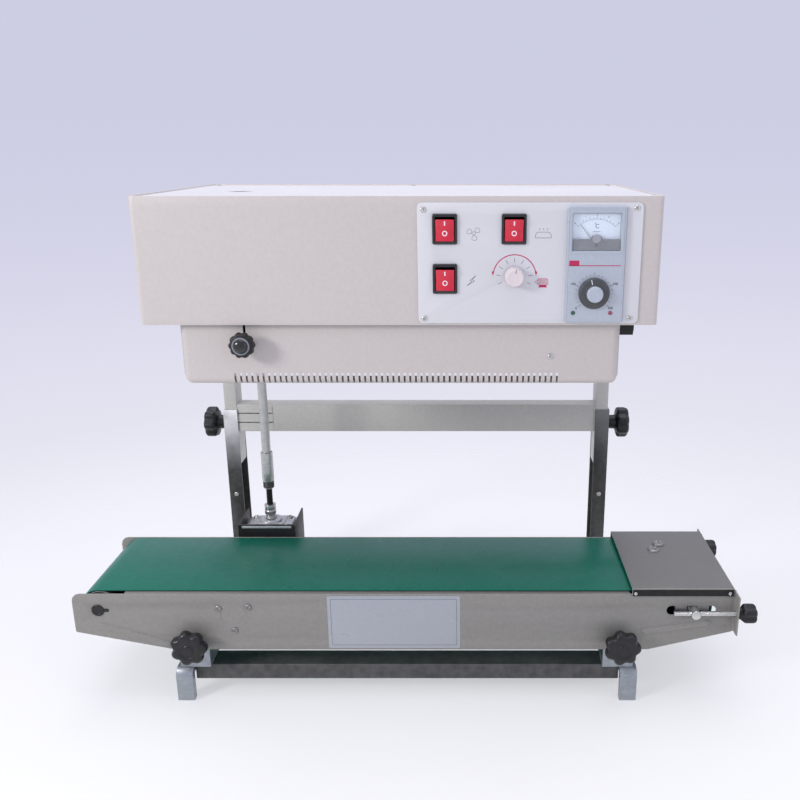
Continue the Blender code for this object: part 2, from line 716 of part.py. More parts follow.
def build_panel(machine):
    """Aluminium panel with three rockers, the speed knob and the temperature controller."""
    front = HEAD_FRONT - GAP - PANEL_SHEET
    back = HEAD_FRONT - GAP
    outline = rounded(rectangle(PANEL_LEFT, PANEL_BOTTOM, PANEL_RIGHT, PANEL_TOP), [5.0] * 4)
    half_w = ROCKER_WIDTH / 2.0 + 1.2
    half_h = ROCKER_HEIGHT / 2.0 + 1.6
    holes = [rectangle(x - half_w, z - half_h, x + half_w, z + half_h) for x, z in ROCKER_PLACES.values()]
    holes.append(circle(SPEED_X, SPEED_Z, 4.0))
    hole_w = CONTROLLER_WIDTH / 2.0 - 4.0 + GAP
    hole_h = CONTROLLER_HEIGHT / 2.0 - 6.0 + GAP
    x = CONTROLLER_X
    z = CONTROLLER_Z
    holes.append(rectangle(x - hole_w, z - hole_h, x + hole_w, z + hole_h))
    piece(machine, "control_panel", "aluminium", plate(outline, "Y", front, back, holes))
    for name, (rocker_x, rocker_z) in ROCKER_PLACES.items():
        build_rocker(machine, name, rocker_x, rocker_z)
    profile = [(8.0, 3.4, 0), (0.6, 3.4, 0), (0.6, 10.4, 0), (-2.0, 10.4, 0), (-3.0, 9.6, 1), (-13.0, 9.0, 1)]
    shape = knob((SPEED_X, SPEED_Z), "Y", profile, lobes=8, per_lobe=2, depth=0.06)
    piece(machine, "speed_knob", "white_plastic", shape, (SPEED_X, 0.0, SPEED_Z), smooth=True)
    build_controller(machine, front - GAP)


def build_controller(machine, bezel_back):
    """Temperature controller with a meter pocket, its needle and its dial."""
    x = CONTROLLER_X
    z = CONTROLLER_Z
    wide = CONTROLLER_WIDTH / 2.0
    tall = CONTROLLER_HEIGHT / 2.0
    body_half = wide - 4.0
    body_tall = tall - 6.0
    bezel_front = bezel_back - 4.0
    body = stepped_block([
        (bezel_front, x - wide, z - tall, x + wide, z + tall),
        (bezel_back, x - wide, z - tall, x + wide, z + tall),
        (bezel_back, x - body_half, z - body_tall, x + body_half, z + body_tall),
        (64.0, x - body_half, z - body_tall, x + body_half, z + body_tall),
    ])
    pocket_low = (x - 25.0, bezel_front - OVERLAP, METER_Z - 18.0)
    pocket_high = (x + 25.0, bezel_front + 7.0, METER_Z + 20.0)
    piece(machine, "temperature_controller", "grey_plastic", body, cut=[block(pocket_low, pocket_high)])
    needle_pivot = (x, bezel_front + 4.0, METER_Z - 13.0)
    needle = plate(
        [(x - 2.0, METER_Z - 15.0), (x + 2.0, METER_Z - 15.0), (x + 0.7, METER_Z - 5.0),
         (x + 0.4, METER_Z + 14.0), (x - 0.4, METER_Z + 14.0), (x - 0.7, METER_Z - 5.0)],
        "Y", bezel_front + 3.6, bezel_front + 4.4,
    )
    needle_item = piece(machine, "meter_needle", "black_plastic", needle, needle_pivot)
    needle_item.rotation_euler = (0.0, -radians(NEEDLE_REST), 0.0)
    dial = [(bezel_front - GAP, 16.3, 0), (bezel_front - 5.0, 16.3, 0), (bezel_front - 5.5, 9.0, 0),
            (bezel_front - 12.0, 8.2, 0)]
    shape = knob((x - 1.0, DIAL_Z), "Y", dial, lobes=10, per_lobe=2)
    piece(machine, "temperature_dial", "black_plastic", shape, (x - 1.0, bezel_front, DIAL_Z), smooth=True)


def build_rocker(machine, name, x, z):
    """Rocker cap with a shallow vee face, tilted about its pivot pin to one of its two places."""
    half_w = ROCKER_WIDTH / 2.0
    half_h = ROCKER_HEIGHT / 2.0
    pivot_y = 3.0
    side = [(-4.0, z - half_h), (-1.6, z), (-4.0, z + half_h), (8.0, z + half_h * 0.5),
            (8.0, z - half_h * 0.5)]
    item = piece(machine, name, "red_plastic", plate(side, "X", x - half_w, x + half_w), (x, pivot_y, z))
    item.rotation_euler = (radians(ROCKER_REST_TILT), 0.0, 0.0)


def wheel_rows():
    """Y of the front and the rear row of band wheels."""
    half = GAP / 2.0 + BAND_SHEET + GAP + WHEEL_RADIUS
    return BAND_LINE_Y - half, BAND_LINE_Y + half


def press_rows():
    """Y of the embossing wheel in front and the rubber press wheel behind."""
    return BAND_LINE_Y - 0.4 - PRESS_RADIUS, BAND_LINE_Y + 0.4 + PRESS_RADIUS


def gear_module():
    """Tooth size that makes the two wheel gears meet on the band line."""
    front, rear = wheel_rows()
    return (rear - front) / GEAR_TEETH


def gear_distance():
    """Distance from a wheel gear to the motor pinion."""
    return gear_module() * (GEAR_TEETH + PINION_TEETH) / 2.0


def build_sealing_unit(machine):
    """Band wheels, bands, heating and cooling blocks, press wheels, inlet guide and guard."""
    front, rear = wheel_rows()
    low = BAND_Z - BAND_HEIGHT / 2.0 - 0.5
    high = BAND_Z + BAND_HEIGHT / 2.0 + 0.5
    module = gear_module()
    for x, column in ((WHEEL_LEFT_X, "left"), (WHEEL_RIGHT_X, "right")):
        for y, row in ((front, "front"), (rear, "rear")):
            driven = column == "left"
            top = GEAR_Z[1] + 3.0 if driven else HEAD_BOTTOM + HEAD_PLATE + 3.0
            profile = [(low - 4.0, 9.0), (low, 9.0), (low, WHEEL_RADIUS), (high, WHEEL_RADIUS), (high, 10.0),
                       (high + 8.0, 10.0), (high + 8.0, 6.0), (top, 6.0)]
            phase = pi / 2.0 if row == "front" else -pi / 2.0 + pi / GEAR_TEETH
            gear = [plate(gear_outline(x, y, GEAR_TEETH, module, phase), "Z", *GEAR_Z)] if driven else []
            shape = turned((x, y), "Z", profile, 24)
            name = f"band_wheel_{row}_{column}"
            piece(machine, name, "rubber", shape, (x, y, BAND_Z), smooth=True, join=gear)
    for y, row in ((front, "front"), (rear, "rear")):
        centres = [(WHEEL_LEFT_X, y), (WHEEL_RIGHT_X, y)]
        inside = loop_outline(centres, WHEEL_RADIUS + GAP, 10)
        outside = loop_outline(centres, WHEEL_RADIUS + GAP + BAND_SHEET, 10)
        band = plate(outside, "Z", BAND_Z - BAND_HEIGHT / 2.0, BAND_Z + BAND_HEIGHT / 2.0, [inside])
        piece(machine, f"seal_band_{row}", "ptfe", band, smooth=True)
    touch = GAP / 2.0 + BAND_SHEET + GAP
    for row, side in (("front", -1), ("rear", 1)):
        ends = sorted((BAND_LINE_Y + side * touch, BAND_LINE_Y + side * (touch + 14.0)))
        piece(machine, f"heater_{row}", "brass", plate(heater_outline(105.0), "Y", *ends))
        piece(machine, f"cooler_{row}", "aluminium", plate(cooler_outline(10.0), "Y", *ends))
    build_press_wheels(machine)
    build_inlet_guide(machine)
    build_guard(machine)


def heater_outline(x):
    """Heating block with a stem up to the head plate."""
    top = HEAD_BOTTOM - GAP
    return [(x - 40.0, 413.0), (x + 40.0, 413.0), (x + 40.0, 437.0), (x + 9.0, 437.0), (x + 9.0, top),
            (x - 9.0, top), (x - 9.0, 437.0), (x - 40.0, 437.0)]


def cooler_outline(x):
    """Cooling block with fins along its lower edge and a stem up to the head plate."""
    top = HEAD_BOTTOM - GAP
    fins = 5
    pitch = 70.0 / fins
    points = []
    for fin in range(fins):
        left = x - 35.0 + fin * pitch
        points += [(left + 3.0, 408.0), (left + pitch - 3.0, 408.0), (left + pitch - 3.0, 416.0)]
        if fin < fins - 1:
            points.append((left + pitch + 3.0, 416.0))
    points += [(x + 35.0, 416.0), (x + 35.0, 437.0), (x + 9.0, 437.0), (x + 9.0, top), (x - 9.0, top),
               (x - 9.0, 437.0), (x - 35.0, 437.0), (x - 35.0, 416.0), (x - 32.0, 416.0)]
    return points


def build_press_wheels(machine):
    """Embossing wheel in front, rubber wheel behind, and the knob that sets their pressure."""
    front, rear = press_rows()
    top = HEAD_BOTTOM + HEAD_PLATE + 6.0
    for y, name, finish in ((front, "embossing_wheel", "steel"), (rear, "press_wheel", "rubber")):
        profile = [(414.0, 8.0), (419.0, 8.0), (419.0, PRESS_RADIUS), (431.0, PRESS_RADIUS), (431.0, 8.0),
                   (440.0, 8.0), (440.0, 5.0), (top, 5.0)]
        shape = turned((PRESS_X, y), "Z", profile, 20)
        piece(machine, name, finish, shape, (PRESS_X, y, BAND_Z), smooth=True)
    profile = [(26.0, 3.0, 0), (8.0, 3.0, 0), (8.0, 7.0, 0), (0.0, 7.5, 0), (-1.0, 14.0, 1), (-9.0, 14.0, 1),
               (-10.5, 8.0, 0), (-15.0, 6.0, 0)]
    shape = knob((PRESS_X, PRESSURE_KNOB_Z), "Y", profile)
    pivot = (PRESS_X, GUARD_FRONT, PRESSURE_KNOB_Z)
    piece(machine, "pressure_knob", "black_plastic", shape, pivot, smooth=True)


def build_inlet_guide(machine):
    """Two fingers with a slit between them that lead the bag's mouth into the bands."""
    low = 432.0
    top = HEAD_BOTTOM - GAP
    half = [(12.0, top), (12.0, low + 8.0), (8.0, low), (3.5, low), (2.2, low + 14.0)]
    section = [(BAND_LINE_Y - y, z) for y, z in half] + [(BAND_LINE_Y + y, z) for y, z in reversed(half)]
    piece(machine, "inlet_guide", "black_plastic", plate(section, "X", INLET_LEFT, INLET_RIGHT))


def build_guard(machine):
    """Sheet cover in front of the bands, bent under, with a row of vent slots and a slit for the knob."""
    top = HEAD_BOTTOM - GAP
    half = GUARD_HALF
    outline = rounded(
        [(GUARD_REAR, top), (GUARD_FRONT, top), (GUARD_FRONT, GUARD_BOTTOM), (GUARD_REAR, GUARD_BOTTOM)],
        [0.0, 0.0, GUARD_BEND, 0.0], 2,
    )
    wall = GUARD_SHEET
    hollow_outline = rounded(
        [(GUARD_REAR + OVERLAP, top + OVERLAP), (GUARD_FRONT + wall, top + OVERLAP),
         (GUARD_FRONT + wall, GUARD_BOTTOM + wall), (GUARD_REAR + OVERLAP, GUARD_BOTTOM + wall)],
        [0.0, 0.0, GUARD_BEND - wall, 0.0], 2,
    )
    cutters = [plate(hollow_outline, "X", wall - half, half - wall)]
    vents = []
    pitch = (VENT_LAST_X - VENT_FIRST_X) / (VENT_COUNT - 1)
    for index in range(VENT_COUNT):
        x = VENT_FIRST_X + index * pitch
        vents.append(block((x - 1.1, GUARD_FRONT - OVERLAP, 391.5), (x + 1.1, GUARD_FRONT + 7.0, 402.5)))
    slit_high = (PRESS_X + 1.4, GUARD_FRONT + 4.0, top + OVERLAP)
    slit = block((PRESS_X - 1.4, GUARD_FRONT - OVERLAP, PRESSURE_KNOB_Z), slit_high)
    hole_span = [(GUARD_FRONT - 3.0, 4.0), (GUARD_FRONT + 5.0, 4.0)]
    hole = turned((PRESS_X, PRESSURE_KNOB_Z), "Y", hole_span, 12)
    guard = piece(machine, "band_guard", "paint", plate(outline, "X", -half, half), cut=cutters)
    add_boolean(guard, "DIFFERENCE", tool(machine, "band_guard_vents", merge(vents)))
    add_boolean(guard, "DIFFERENCE", tool(machine, "band_guard_slit", slit))
    add_boolean(guard, "DIFFERENCE", tool(machine, "band_guard_hole", hole))


def build_drive(machine):
    """Motor with its reduction box, pinion, chain and the upper half of the conveyor's drive shaft."""
    rear = wheel_rows()[1]
    pinion_y = rear + gear_distance()
    module = gear_module()
    gear = plate(gear_outline(WHEEL_LEFT_X, pinion_y, PINION_TEETH, module, -pi / 2.0), "Z", *GEAR_Z)
    low, high = SPROCKET_Z
    spindle = [(HEAD_BOTTOM + 0.5, 6.0), (low, 6.0), (low, SPROCKET_RADIUS), (high, SPROCKET_RADIUS),
               (high, 6.0), (high + 7.0, 6.0)]
    shape = turned((WHEEL_LEFT_X, pinion_y), "Z", spindle, 16)
    pivot = (WHEEL_LEFT_X, pinion_y, low)
    piece(machine, "motor_pinion", "steel", shape, pivot, smooth=True, join=[gear])
    upper = [
        (200.0, 4.3), (200.0, 6.3), (212.0, 7.8), (251.0, 7.8), (251.0, 5.6), (low, 5.6),
        (low, SPROCKET_RADIUS), (high, SPROCKET_RADIUS), (high, 5.6), (high + 5.0, 5.6), (high + 5.0, 4.3),
    ]
    shape = turned((SHAFT_X, SHAFT_Y), "Z", upper, 12, closed=True)
    piece(machine, "drive_shaft_upper", "steel", shape, (SHAFT_X, SHAFT_Y, 251.0), smooth=True)
    centres = [(SHAFT_X, SHAFT_Y), (WHEEL_LEFT_X, pinion_y)]
    inside = loop_outline(centres, SPROCKET_RADIUS + 0.4, 6)
    outside = loop_outline(centres, SPROCKET_RADIUS + 2.8, 6)
    piece(machine, "drive_chain", "steel", plate(outside, "Z", low + 0.5, high - 0.5, [inside]))
    reducer_low = (WHEEL_LEFT_X - 30.0, pinion_y - 30.0, high + 8.0)
    reducer = block(reducer_low, (WHEEL_LEFT_X + 26.0, pinion_y + 30.0, high + 63.0))
    can = [(WHEEL_LEFT_X + 20.0, 27.0), (WHEEL_LEFT_X + 130.0, 27.0), (WHEEL_LEFT_X + 134.0, 23.0)]
    motor = turned((pinion_y, high + 35.5), "X", can, 20)
    piece(machine, "drive_motor", "motor", reducer, join=[motor])
    supply = block((140.0, 200.0, HEAD_BOTTOM + HEAD_PLATE + GAP), (215.0, 275.0, 535.0))
    piece(machine, "power_unit", "motor", supply)


def main():
    """Build the machine under one empty."""
    clear_scene()
    machine = bpy.data.objects.new("machine", None)
    machine.location = Vector((-(LEFT_END + RIGHT_END) / 2.0, -(FRONT_END + REAR_END) / 2.0, 0.0)) * MM
    bpy.context.scene.collection.objects.link(machine)
    build_stand(machine)
    build_conveyor(machine)
    build_lift_frame(machine)
    build_head_box(machine)
    build_panel(machine)
    build_sealing_unit(machine)
    build_drive(machine)
    bpy.context.view_layer.update()


main()
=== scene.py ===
"""Looks of a bench-top continuous band sealer: folded sheet steel, moulded knobs, belt, panel and bands.

Lengths are millimetres in the machine's own frame: X along the conveyor, Y from the operator to the back,
Z up, with zero at the middle of the stand, the face of the front side plate and the bench. They turn into
the row's metres when a mesh is written. Most places are read from the boxes of the nodes they belong to.
"""

import logging
from dataclasses import dataclass, field, replace
from enum import Enum
from math import cos, pi, radians, sin
from typing import Sequence

import bmesh
import bpy
import numpy as np
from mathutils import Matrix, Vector


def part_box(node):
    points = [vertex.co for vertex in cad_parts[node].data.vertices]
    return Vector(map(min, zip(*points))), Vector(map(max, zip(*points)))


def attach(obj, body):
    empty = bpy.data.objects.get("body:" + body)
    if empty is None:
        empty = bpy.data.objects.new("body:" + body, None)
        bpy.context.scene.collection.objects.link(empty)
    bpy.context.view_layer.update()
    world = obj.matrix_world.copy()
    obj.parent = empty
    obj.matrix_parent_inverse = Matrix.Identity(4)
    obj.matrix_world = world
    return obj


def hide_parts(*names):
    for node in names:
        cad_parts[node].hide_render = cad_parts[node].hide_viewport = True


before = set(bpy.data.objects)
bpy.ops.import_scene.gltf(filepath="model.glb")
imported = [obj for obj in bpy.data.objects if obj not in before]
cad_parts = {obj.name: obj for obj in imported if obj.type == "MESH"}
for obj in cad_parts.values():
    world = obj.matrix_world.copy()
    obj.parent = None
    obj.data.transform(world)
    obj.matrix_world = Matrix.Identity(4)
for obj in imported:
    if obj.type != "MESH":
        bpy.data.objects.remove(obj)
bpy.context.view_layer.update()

LOG = logging.getLogger("band_sealer")
MM = 0.001
BELT_INSET = 6.5
Array = np.ndarray
Colour = tuple[float, float, float]
Point = tuple[float, float, float]
Socket = bpy.types.NodeSocket
Sockets = dict[str, Socket]


def machine_home() -> Array:
    """Find where the machine's own zero lies in the row.

    Returns:
        The point in metres: halfway between the skids, one belt inset in front of the belt, on the bench.
    """
    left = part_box("skid_left")[0].x
    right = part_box("skid_right")[1].x
    return np.array(((left + right) / 2.0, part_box("conveyor_belt")[0].y - BELT_INSET * MM, 0.0))


HOME = machine_home()


@dataclass(frozen=True)
class Box:
    """A node's box at rest in machine millimetres: its faces, its middle and its size."""

    left: float
    front: float
    bottom: float
    right: float
    rear: float
    top: float
    x: float
    y: float
    z: float
    width: float
    depth: float
    height: float

    @classmethod
    def of(cls, node: str) -> "Box":
        """Read the box of one node."""
        low, high = (np.array(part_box(node)) - HOME) / MM
        return cls(*low.tolist(), *high.tolist(), *((low + high) / 2.0).tolist(), *(high - low).tolist())


class Facing(Enum):
    """The way a face looks, as the directions of its u (right), v (up) and w (out) axes."""

    UP = ((1, 0, 0), (0, 1, 0), (0, 0, 1))
    FRONT = ((1, 0, 0), (0, 0, 1), (0, -1, 0))
    REAR = ((-1, 0, 0), (0, 0, 1), (0, 1, 0))
    RIGHT = ((0, 1, 0), (0, 0, 1), (1, 0, 0))
    LEFT = ((0, -1, 0), (0, 0, 1), (-1, 0, 0))

    def space(self, centre: Sequence[float], u: Array, v: Array, w: Array) -> Array:
        """Put local coordinates into the machine's frame.

        Args:
            centre: Where u, v and w are zero.
            u: Coordinates to the right.
            v: Coordinates up.
            w: Coordinates out of the face.

        Returns:
            Points whose last axis is X, Y, Z.
        """
        u, v, w = np.broadcast_arrays(u, v, w)
        return np.asarray(centre, float) + np.stack((u, v, w), axis=-1) @ np.array(self.value, float)


UP, FRONT, REAR, RIGHT, LEFT = Facing


class Surface:
    """A mesh under construction, made of grids of points in machine millimetres."""

    def __init__(self) -> None:
        """Start with nothing."""
        self.points: list[Array] = []
        self.faces: list[tuple[int, ...]] = []
        self.count = 0

    def grid(self, points: Array, around: bool = False, along: bool = False, caps: bool = False,
            keep: Array | None = None) -> "Surface":
        """Add a two-parameter grid; a face joins each point to its right and upper neighbours.

        Args:
            points: Rows, columns and X, Y, Z.
            around: Whether the last column joins the first.
            along: Whether the last row joins the first.
            caps: Whether a flat face closes the first and last row.
            keep: Which cells to keep.

        Returns:
            This surface.
        """
        rows, columns = points.shape[:2]
        here = self.count + np.arange(rows * columns).reshape(rows, columns)
        right = np.roll(here, -1, axis=1)
        cells = np.stack((here, right, np.roll(right, -1, axis=0), np.roll(here, -1, axis=0)), axis=-1)
        cells = cells[: rows if along else rows - 1, : columns if around else columns - 1]
        chosen = cells.reshape(-1, 4) if keep is None else cells[keep]
        self.faces.extend(map(tuple, chosen.tolist()))
        if caps:
            self.faces.append(tuple(here[0, ::-1].tolist()))
            self.faces.append(tuple(here[-1].tolist()))
        self.points.append(points.reshape(-1, 3))
        self.count += rows * columns
        return self

    def solid(self, points: Array) -> "Surface":
        """Add a grid closed around and over both ends."""
        return self.grid(points, around=True, caps=True)

    def hoop(self, points: Array) -> "Surface":
        """Add a grid closed around and along."""
        return self.grid(points, around=True, along=True)

    def patch(self, points: Array, faces: Sequence[Sequence[int]]) -> "Surface":
        """Add loose faces over their own points.

        Args:
            points: Array of points.
            faces: Corners of each face, as rows of points.

        Returns:
            This surface.
        """
        self.faces.extend(tuple(self.count + corner for corner in face) for face in faces)
        self.points.append(np.asarray(points, float))
        self.count += len(points)
        return self

    def mesh(self, name: str) -> bpy.types.Mesh:
        """Write the surface into a mesh in metres, leaving out points that no face uses.

        Args:
            name: Name of the mesh.

        Returns:
            The mesh.
        """
        used = np.unique(np.concatenate([np.array(face) for face in self.faces]))
        place = np.zeros(self.count, int)
        place[used] = np.arange(len(used))
        points = np.concatenate(self.points)[used] * MM + HOME
        mesh = bpy.data.meshes.new(name)
        mesh.from_pydata(points.tolist(), [], [tuple(place[list(face)].tolist()) for face in self.faces])
        return mesh


def eased(points: Sequence[Sequence[float]], reach: float | Sequence[float], steps: int = 4,
        closed: bool = False) -> Array:
    """Round the corners of a line with parabolas that start and end reach away from them.

    Args:
        points: Corners, in two or more dimensions.
        reach: Distance from a corner to its bend's start, at most half a side.
        steps: Pieces per bend.
        closed: Whether the last point joins the first.

    Returns:
        The eased line.
    """
    corner = np.asarray(points, float)
    before = np.roll(corner, 1, axis=0) - corner
    after = np.roll(corner, -1, axis=0) - corner
    distance = np.array(np.broadcast_to(np.asarray(reach, float), (len(corner),)))
    if not closed:
        distance[[0, -1]] = 0.0
    ends = []
    for side in (before, after):
        length = np.maximum(np.linalg.norm(side, axis=1), 1e-9)
        ends.append(corner + side * np.minimum(distance / length, 0.5)[:, None])
    t = np.linspace(0.0, 1.0, steps + 1)[None, :, None]
    bends = (1 - t) ** 2 * ends[0][:, None] + 2 * t * (1 - t) * corner[:, None] + t**2 * ends[1][:, None]
    line = bends.reshape(-1, corner.shape[1])
    apart = np.linalg.norm(line - np.roll(line, 1, axis=0), axis=1) > 1e-6
    if not closed:
        apart[0] = True
    return line[apart]


def rounded_rectangle(width: float, height: float, radius: float, steps: int = 6) -> Array:
    """Outline of a rectangle about zero, anticlockwise, with quarter circles for corners.

    Args:
        width: Full width.
        height: Full height.
        radius: Corner radius.
        steps: Pieces per corner.

    Returns:
        Points as u and v.
    """
    turn = np.linspace(0.0, pi / 2, steps + 1)[None, :] + np.arange(4)[:, None] * pi / 2
    middle_u = (width / 2 - radius) * np.array((1, -1, -1, 1))[:, None]
    middle_v = (height / 2 - radius) * np.array((1, 1, -1, -1))[:, None]
    return np.stack((middle_u + radius * np.cos(turn), middle_v + radius * np.sin(turn)), -1).reshape(-1, 2)


def ring(radius: float, steps: int = 32, centre: tuple[float, float] = (0.0, 0.0)) -> Array:
    """Points of a circle, anticlockwise."""
    turn = np.arange(steps) * 2 * pi / steps
    return np.stack((centre[0] + radius * np.cos(turn), centre[1] + radius * np.sin(turn)), axis=-1)


def inward(outline: Array) -> Array:
    """Directions that point into a closed anticlockwise outline, across the chord of each point's neighbours."""
    chord = np.roll(outline, -1, axis=0) - np.roll(outline, 1, axis=0)
    normal = np.stack((-chord[:, 1], chord[:, 0]), axis=-1)
    return normal / np.maximum(np.linalg.norm(normal, axis=1, keepdims=True), 1e-9)


def slab(facing: Facing, centre: Point, outline: Array, low: float, high: float, edge: float = 0.4,
        steps: int = 3) -> Array:
    """Raise a flat outline into a plate: at each rim the outline shrinks along a quarter circle.

    Args:
        facing: The way the outer face looks.
        centre: Where the outline's zero lies.
        outline: Closed outline as u and v, anticlockwise.
        low: Lower end along w.
        high: Upper end along w.
        edge: Radius of the rims.
        steps: Pieces per rim.

    Returns:
        A grid to close around, with caps.
    """
    turn = np.linspace(0.0, pi / 2, steps + 1)
    shrink = edge * (1 - np.sin(turn))
    rise = edge * (1 - np.cos(turn))
    inset = np.concatenate((shrink, shrink[::-1]))[:, None, None]
    height = np.concatenate((low + rise, high - rise[::-1]))[:, None]
    flat = outline[None] + inward(outline)[None] * inset
    return facing.space(centre, flat[..., 0], flat[..., 1], height)


def turned(facing: Facing, centre: Point, profile: Sequence[Sequence[float]] | Array, segments: int = 48) -> Array:
    """Turn a profile about the w axis; each column is one step of the turn.

    Args:
        facing: Its w is the axis.
        centre: A point on the axis.
        profile: Rows of height and radius, up the outside.
        segments: Columns in a full turn.

    Returns:
        A grid to close around.
    """
    turn = np.arange(segments)[None, :] * 2 * pi / segments
    height, radius = np.asarray(profile, float).T[:, :, None]
    return facing.space(centre, radius * np.cos(turn), radius * np.sin(turn), height)


def lobed(facing: Facing, centre: Point, profile: Sequence[Sequence[float]], lobes: int, depth: float,
        ease: float = 1.0, sharpness: float = 1.4) -> Array:
    """Turn a profile into a star grip.

    The radius shrinks by depth, times the row's share of lobing, times a raised cosine of the angle to the
    power sharpness, so the valleys are narrower than the lobes.

    Args:
        facing: Its w is the axis.
        centre: A point on the axis.
        profile: Rows of height, radius and share of lobing.
        lobes: Number of lobes.
        depth: Valley depth as a share of the radius.
        ease: Reach of the profile's rounded corners.
        sharpness: Power of the cosine.

    Returns:
        A grid to close around.
    """
    rows = eased(profile, ease, 4)
    turn = np.arange(lobes * 14)[None, :] * 2 * pi / (lobes * 14)
    valley = (0.5 - 0.5 * np.cos(lobes * turn)) ** sharpness
    radius = rows[:, 1][:, None] * (1 - depth * rows[:, 2][:, None] * valley)
    return facing.space(centre, radius * np.cos(turn), radius * np.sin(turn), rows[:, 0][:, None])


def stroke(facing: Facing, centre: Point, line: Array, width: float, low: float, high: float,
        closed: bool = False) -> Array:
    """Draw a line as a flat bar: the four corners of a rectangle carried along it.

    Args:
        facing: The way the drawn face looks.
        centre: Where the line's zero lies.
        line: Points as u and v.
        width: Width of the bar.
        low: Lower face along w.
        high: Upper face along w.
        closed: Whether the line joins its start.

    Returns:
        A grid to close around, and along when the line is closed.
    """
    path = np.asarray(line, float)
    if closed:
        travel = np.roll(path, -1, axis=0) - np.roll(path, 1, axis=0)
    else:
        travel = np.gradient(path, axis=0)
    side = np.stack((-travel[:, 1], travel[:, 0]), axis=-1)
    side /= np.maximum(np.linalg.norm(side, axis=1, keepdims=True), 1e-9)
    across = np.array((1, -1, -1, 1)) * width / 2
    height = np.array((high, high, low, low))
    flat = path[:, None] + side[:, None] * across[None, :, None]
    return facing.space(centre, flat[..., 0], flat[..., 1], height[None, :])


def wheel_line(centres: Sequence[tuple[float, float]], arc_steps: int = 20) -> tuple[Array, Array]:
    """Follow a loop laid around equal wheels: an arc about each and a straight run to the next.

    Args:
        centres: The wheels' centres, anticlockwise.
        arc_steps: Pieces in half a turn.

    Returns:
        Each step's wheel centre, and the direction out of it.
    """
    middle = np.asarray(centres, float)
    leaving = np.roll(middle, -1, axis=0) - middle
    start = np.arctan2(leaving[:, 1], leaving[:, 0]) - pi / 2
    arriving = np.roll(start, 1)
    sweep = np.mod(start - arriving, 2 * pi)
    hubs = []
    spokes = []
    for hub, first, turn in zip(middle, arriving, sweep):
        steps = max(2, round(turn / pi * arc_steps))
        angle = first + np.linspace(0.0, turn, steps + 1)
        hubs.append(np.repeat(hub[None], steps + 1, axis=0))
        spokes.append(np.stack((np.cos(angle), np.sin(angle)), axis=-1))
    return np.concatenate(hubs), np.concatenate(spokes)


def looped(facing: Facing, centre: Point, wheels: Sequence[tuple[float, float]], radius: float, thickness: float,
        width: float, edge: float, arc_steps: int = 20) -> Array:
    """Carry a band's rounded section around its wheels.

    Args:
        facing: The wheels' axes point along its w.
        centre: Middle of the band's width.
        wheels: Centres as u and v, anticlockwise.
        radius: Inner radius on the wheels.
        thickness: Band thickness.
        width: Band width along w.
        edge: Radius of the band's edges.
        arc_steps: Pieces in half a turn.

    Returns:
        A grid to close around and along.
    """
    hub, spoke = wheel_line(wheels, arc_steps)
    section = rounded_rectangle(width, thickness, edge, 3)
    reach = radius + thickness / 2 + section[:, 1]
    flat = hub[:, None] + spoke[:, None] * reach[None, :, None]
    return facing.space(centre, flat[..., 0], flat[..., 1], section[:, 0][None, :])


def folded(profile: Array, low: float, high: float, rows: int = 2) -> Array:
    """Draw a fold line given as Y and Z out along X, as the outer skin of a bent sheet."""
    x = np.linspace(low, high, rows)[:, None]
    return np.stack(np.broadcast_arrays(x, profile[:, 0][None], profile[:, 1][None]), axis=-1)


@dataclass(frozen=True)
class Screw:
    """A pan-head screw with a cross recess."""

    radius: float = 3.4
    height: float = 1.9
    rings: int = 10
    columns: int = 32

    def add(self, surface: Surface, facing: Facing, centre: Point, spin: float = 0.5) -> None:
        """Add one head: its height is a flattened dome, less the recess where either arm of a cross lies.

        Args:
            surface: The surface it goes into.
            facing: The way the head looks.
            centre: Centre of its seat.
            spin: Turn of the recess.
        """
        share = np.concatenate(((1.0, 1.0), np.cos(np.linspace(0.12, pi / 2 - 0.03, self.rings))))[:, None]
        turn = np.arange(self.columns)[None, :] * 2 * pi / self.columns
        u = share * np.cos(turn)
        v = share * np.sin(turn)
        dome = np.sqrt(np.clip(1 - share**2, 0.0, 1.0)) ** 0.7
        dome[0] = -0.15
        arms = []
        for a, b in ((np.cos(turn - spin), np.sin(turn - spin)), (np.sin(turn - spin), np.cos(turn - spin))):
            inside = np.clip(1.6 - np.abs(share * a) / 0.13, 0.0, 1.0)
            arms.append(inside * np.clip((0.62 - np.abs(share * b)) / 0.12, 0.0, 1.0))
        height = self.height * (dome - 0.55 * np.maximum(arms[0], arms[1]))
        surface.solid(facing.space(centre, u * self.radius, v * self.radius, height))


def numeral(surface: Surface, facing: Facing, centre: Point, text: str, size: float, rise: float) -> None:
    """Add a number as raised print, centred on a point.

    Args:
        surface: The surface it goes into.
        facing: The way it reads.
        centre: Its middle.
        text: What it says.
        size: Height of the type.
        rise: How far it stands above its point.
    """
    curve = bpy.data.curves.new("numeral", "FONT")
    curve.body = text
    curve.size = size
    curve.align_x = "CENTER"
    curve.align_y = "CENTER"
    curve.extrude = rise
    curve.resolution_u = 3
    item = bpy.data.objects.new("numeral", curve)
    bpy.context.scene.collection.objects.link(item)
    bpy.context.view_layer.update()
    mesh = bpy.data.meshes.new_from_object(item)
    flat = np.array([vertex.co for vertex in mesh.vertices])
    faces = [tuple(face.vertices) for face in mesh.polygons]
    surface.patch(facing.space(centre, flat[:, 0], flat[:, 1], flat[:, 2]), faces)
    bpy.data.objects.remove(item)
    bpy.data.curves.remove(curve)
    bpy.data.meshes.remove(mesh)


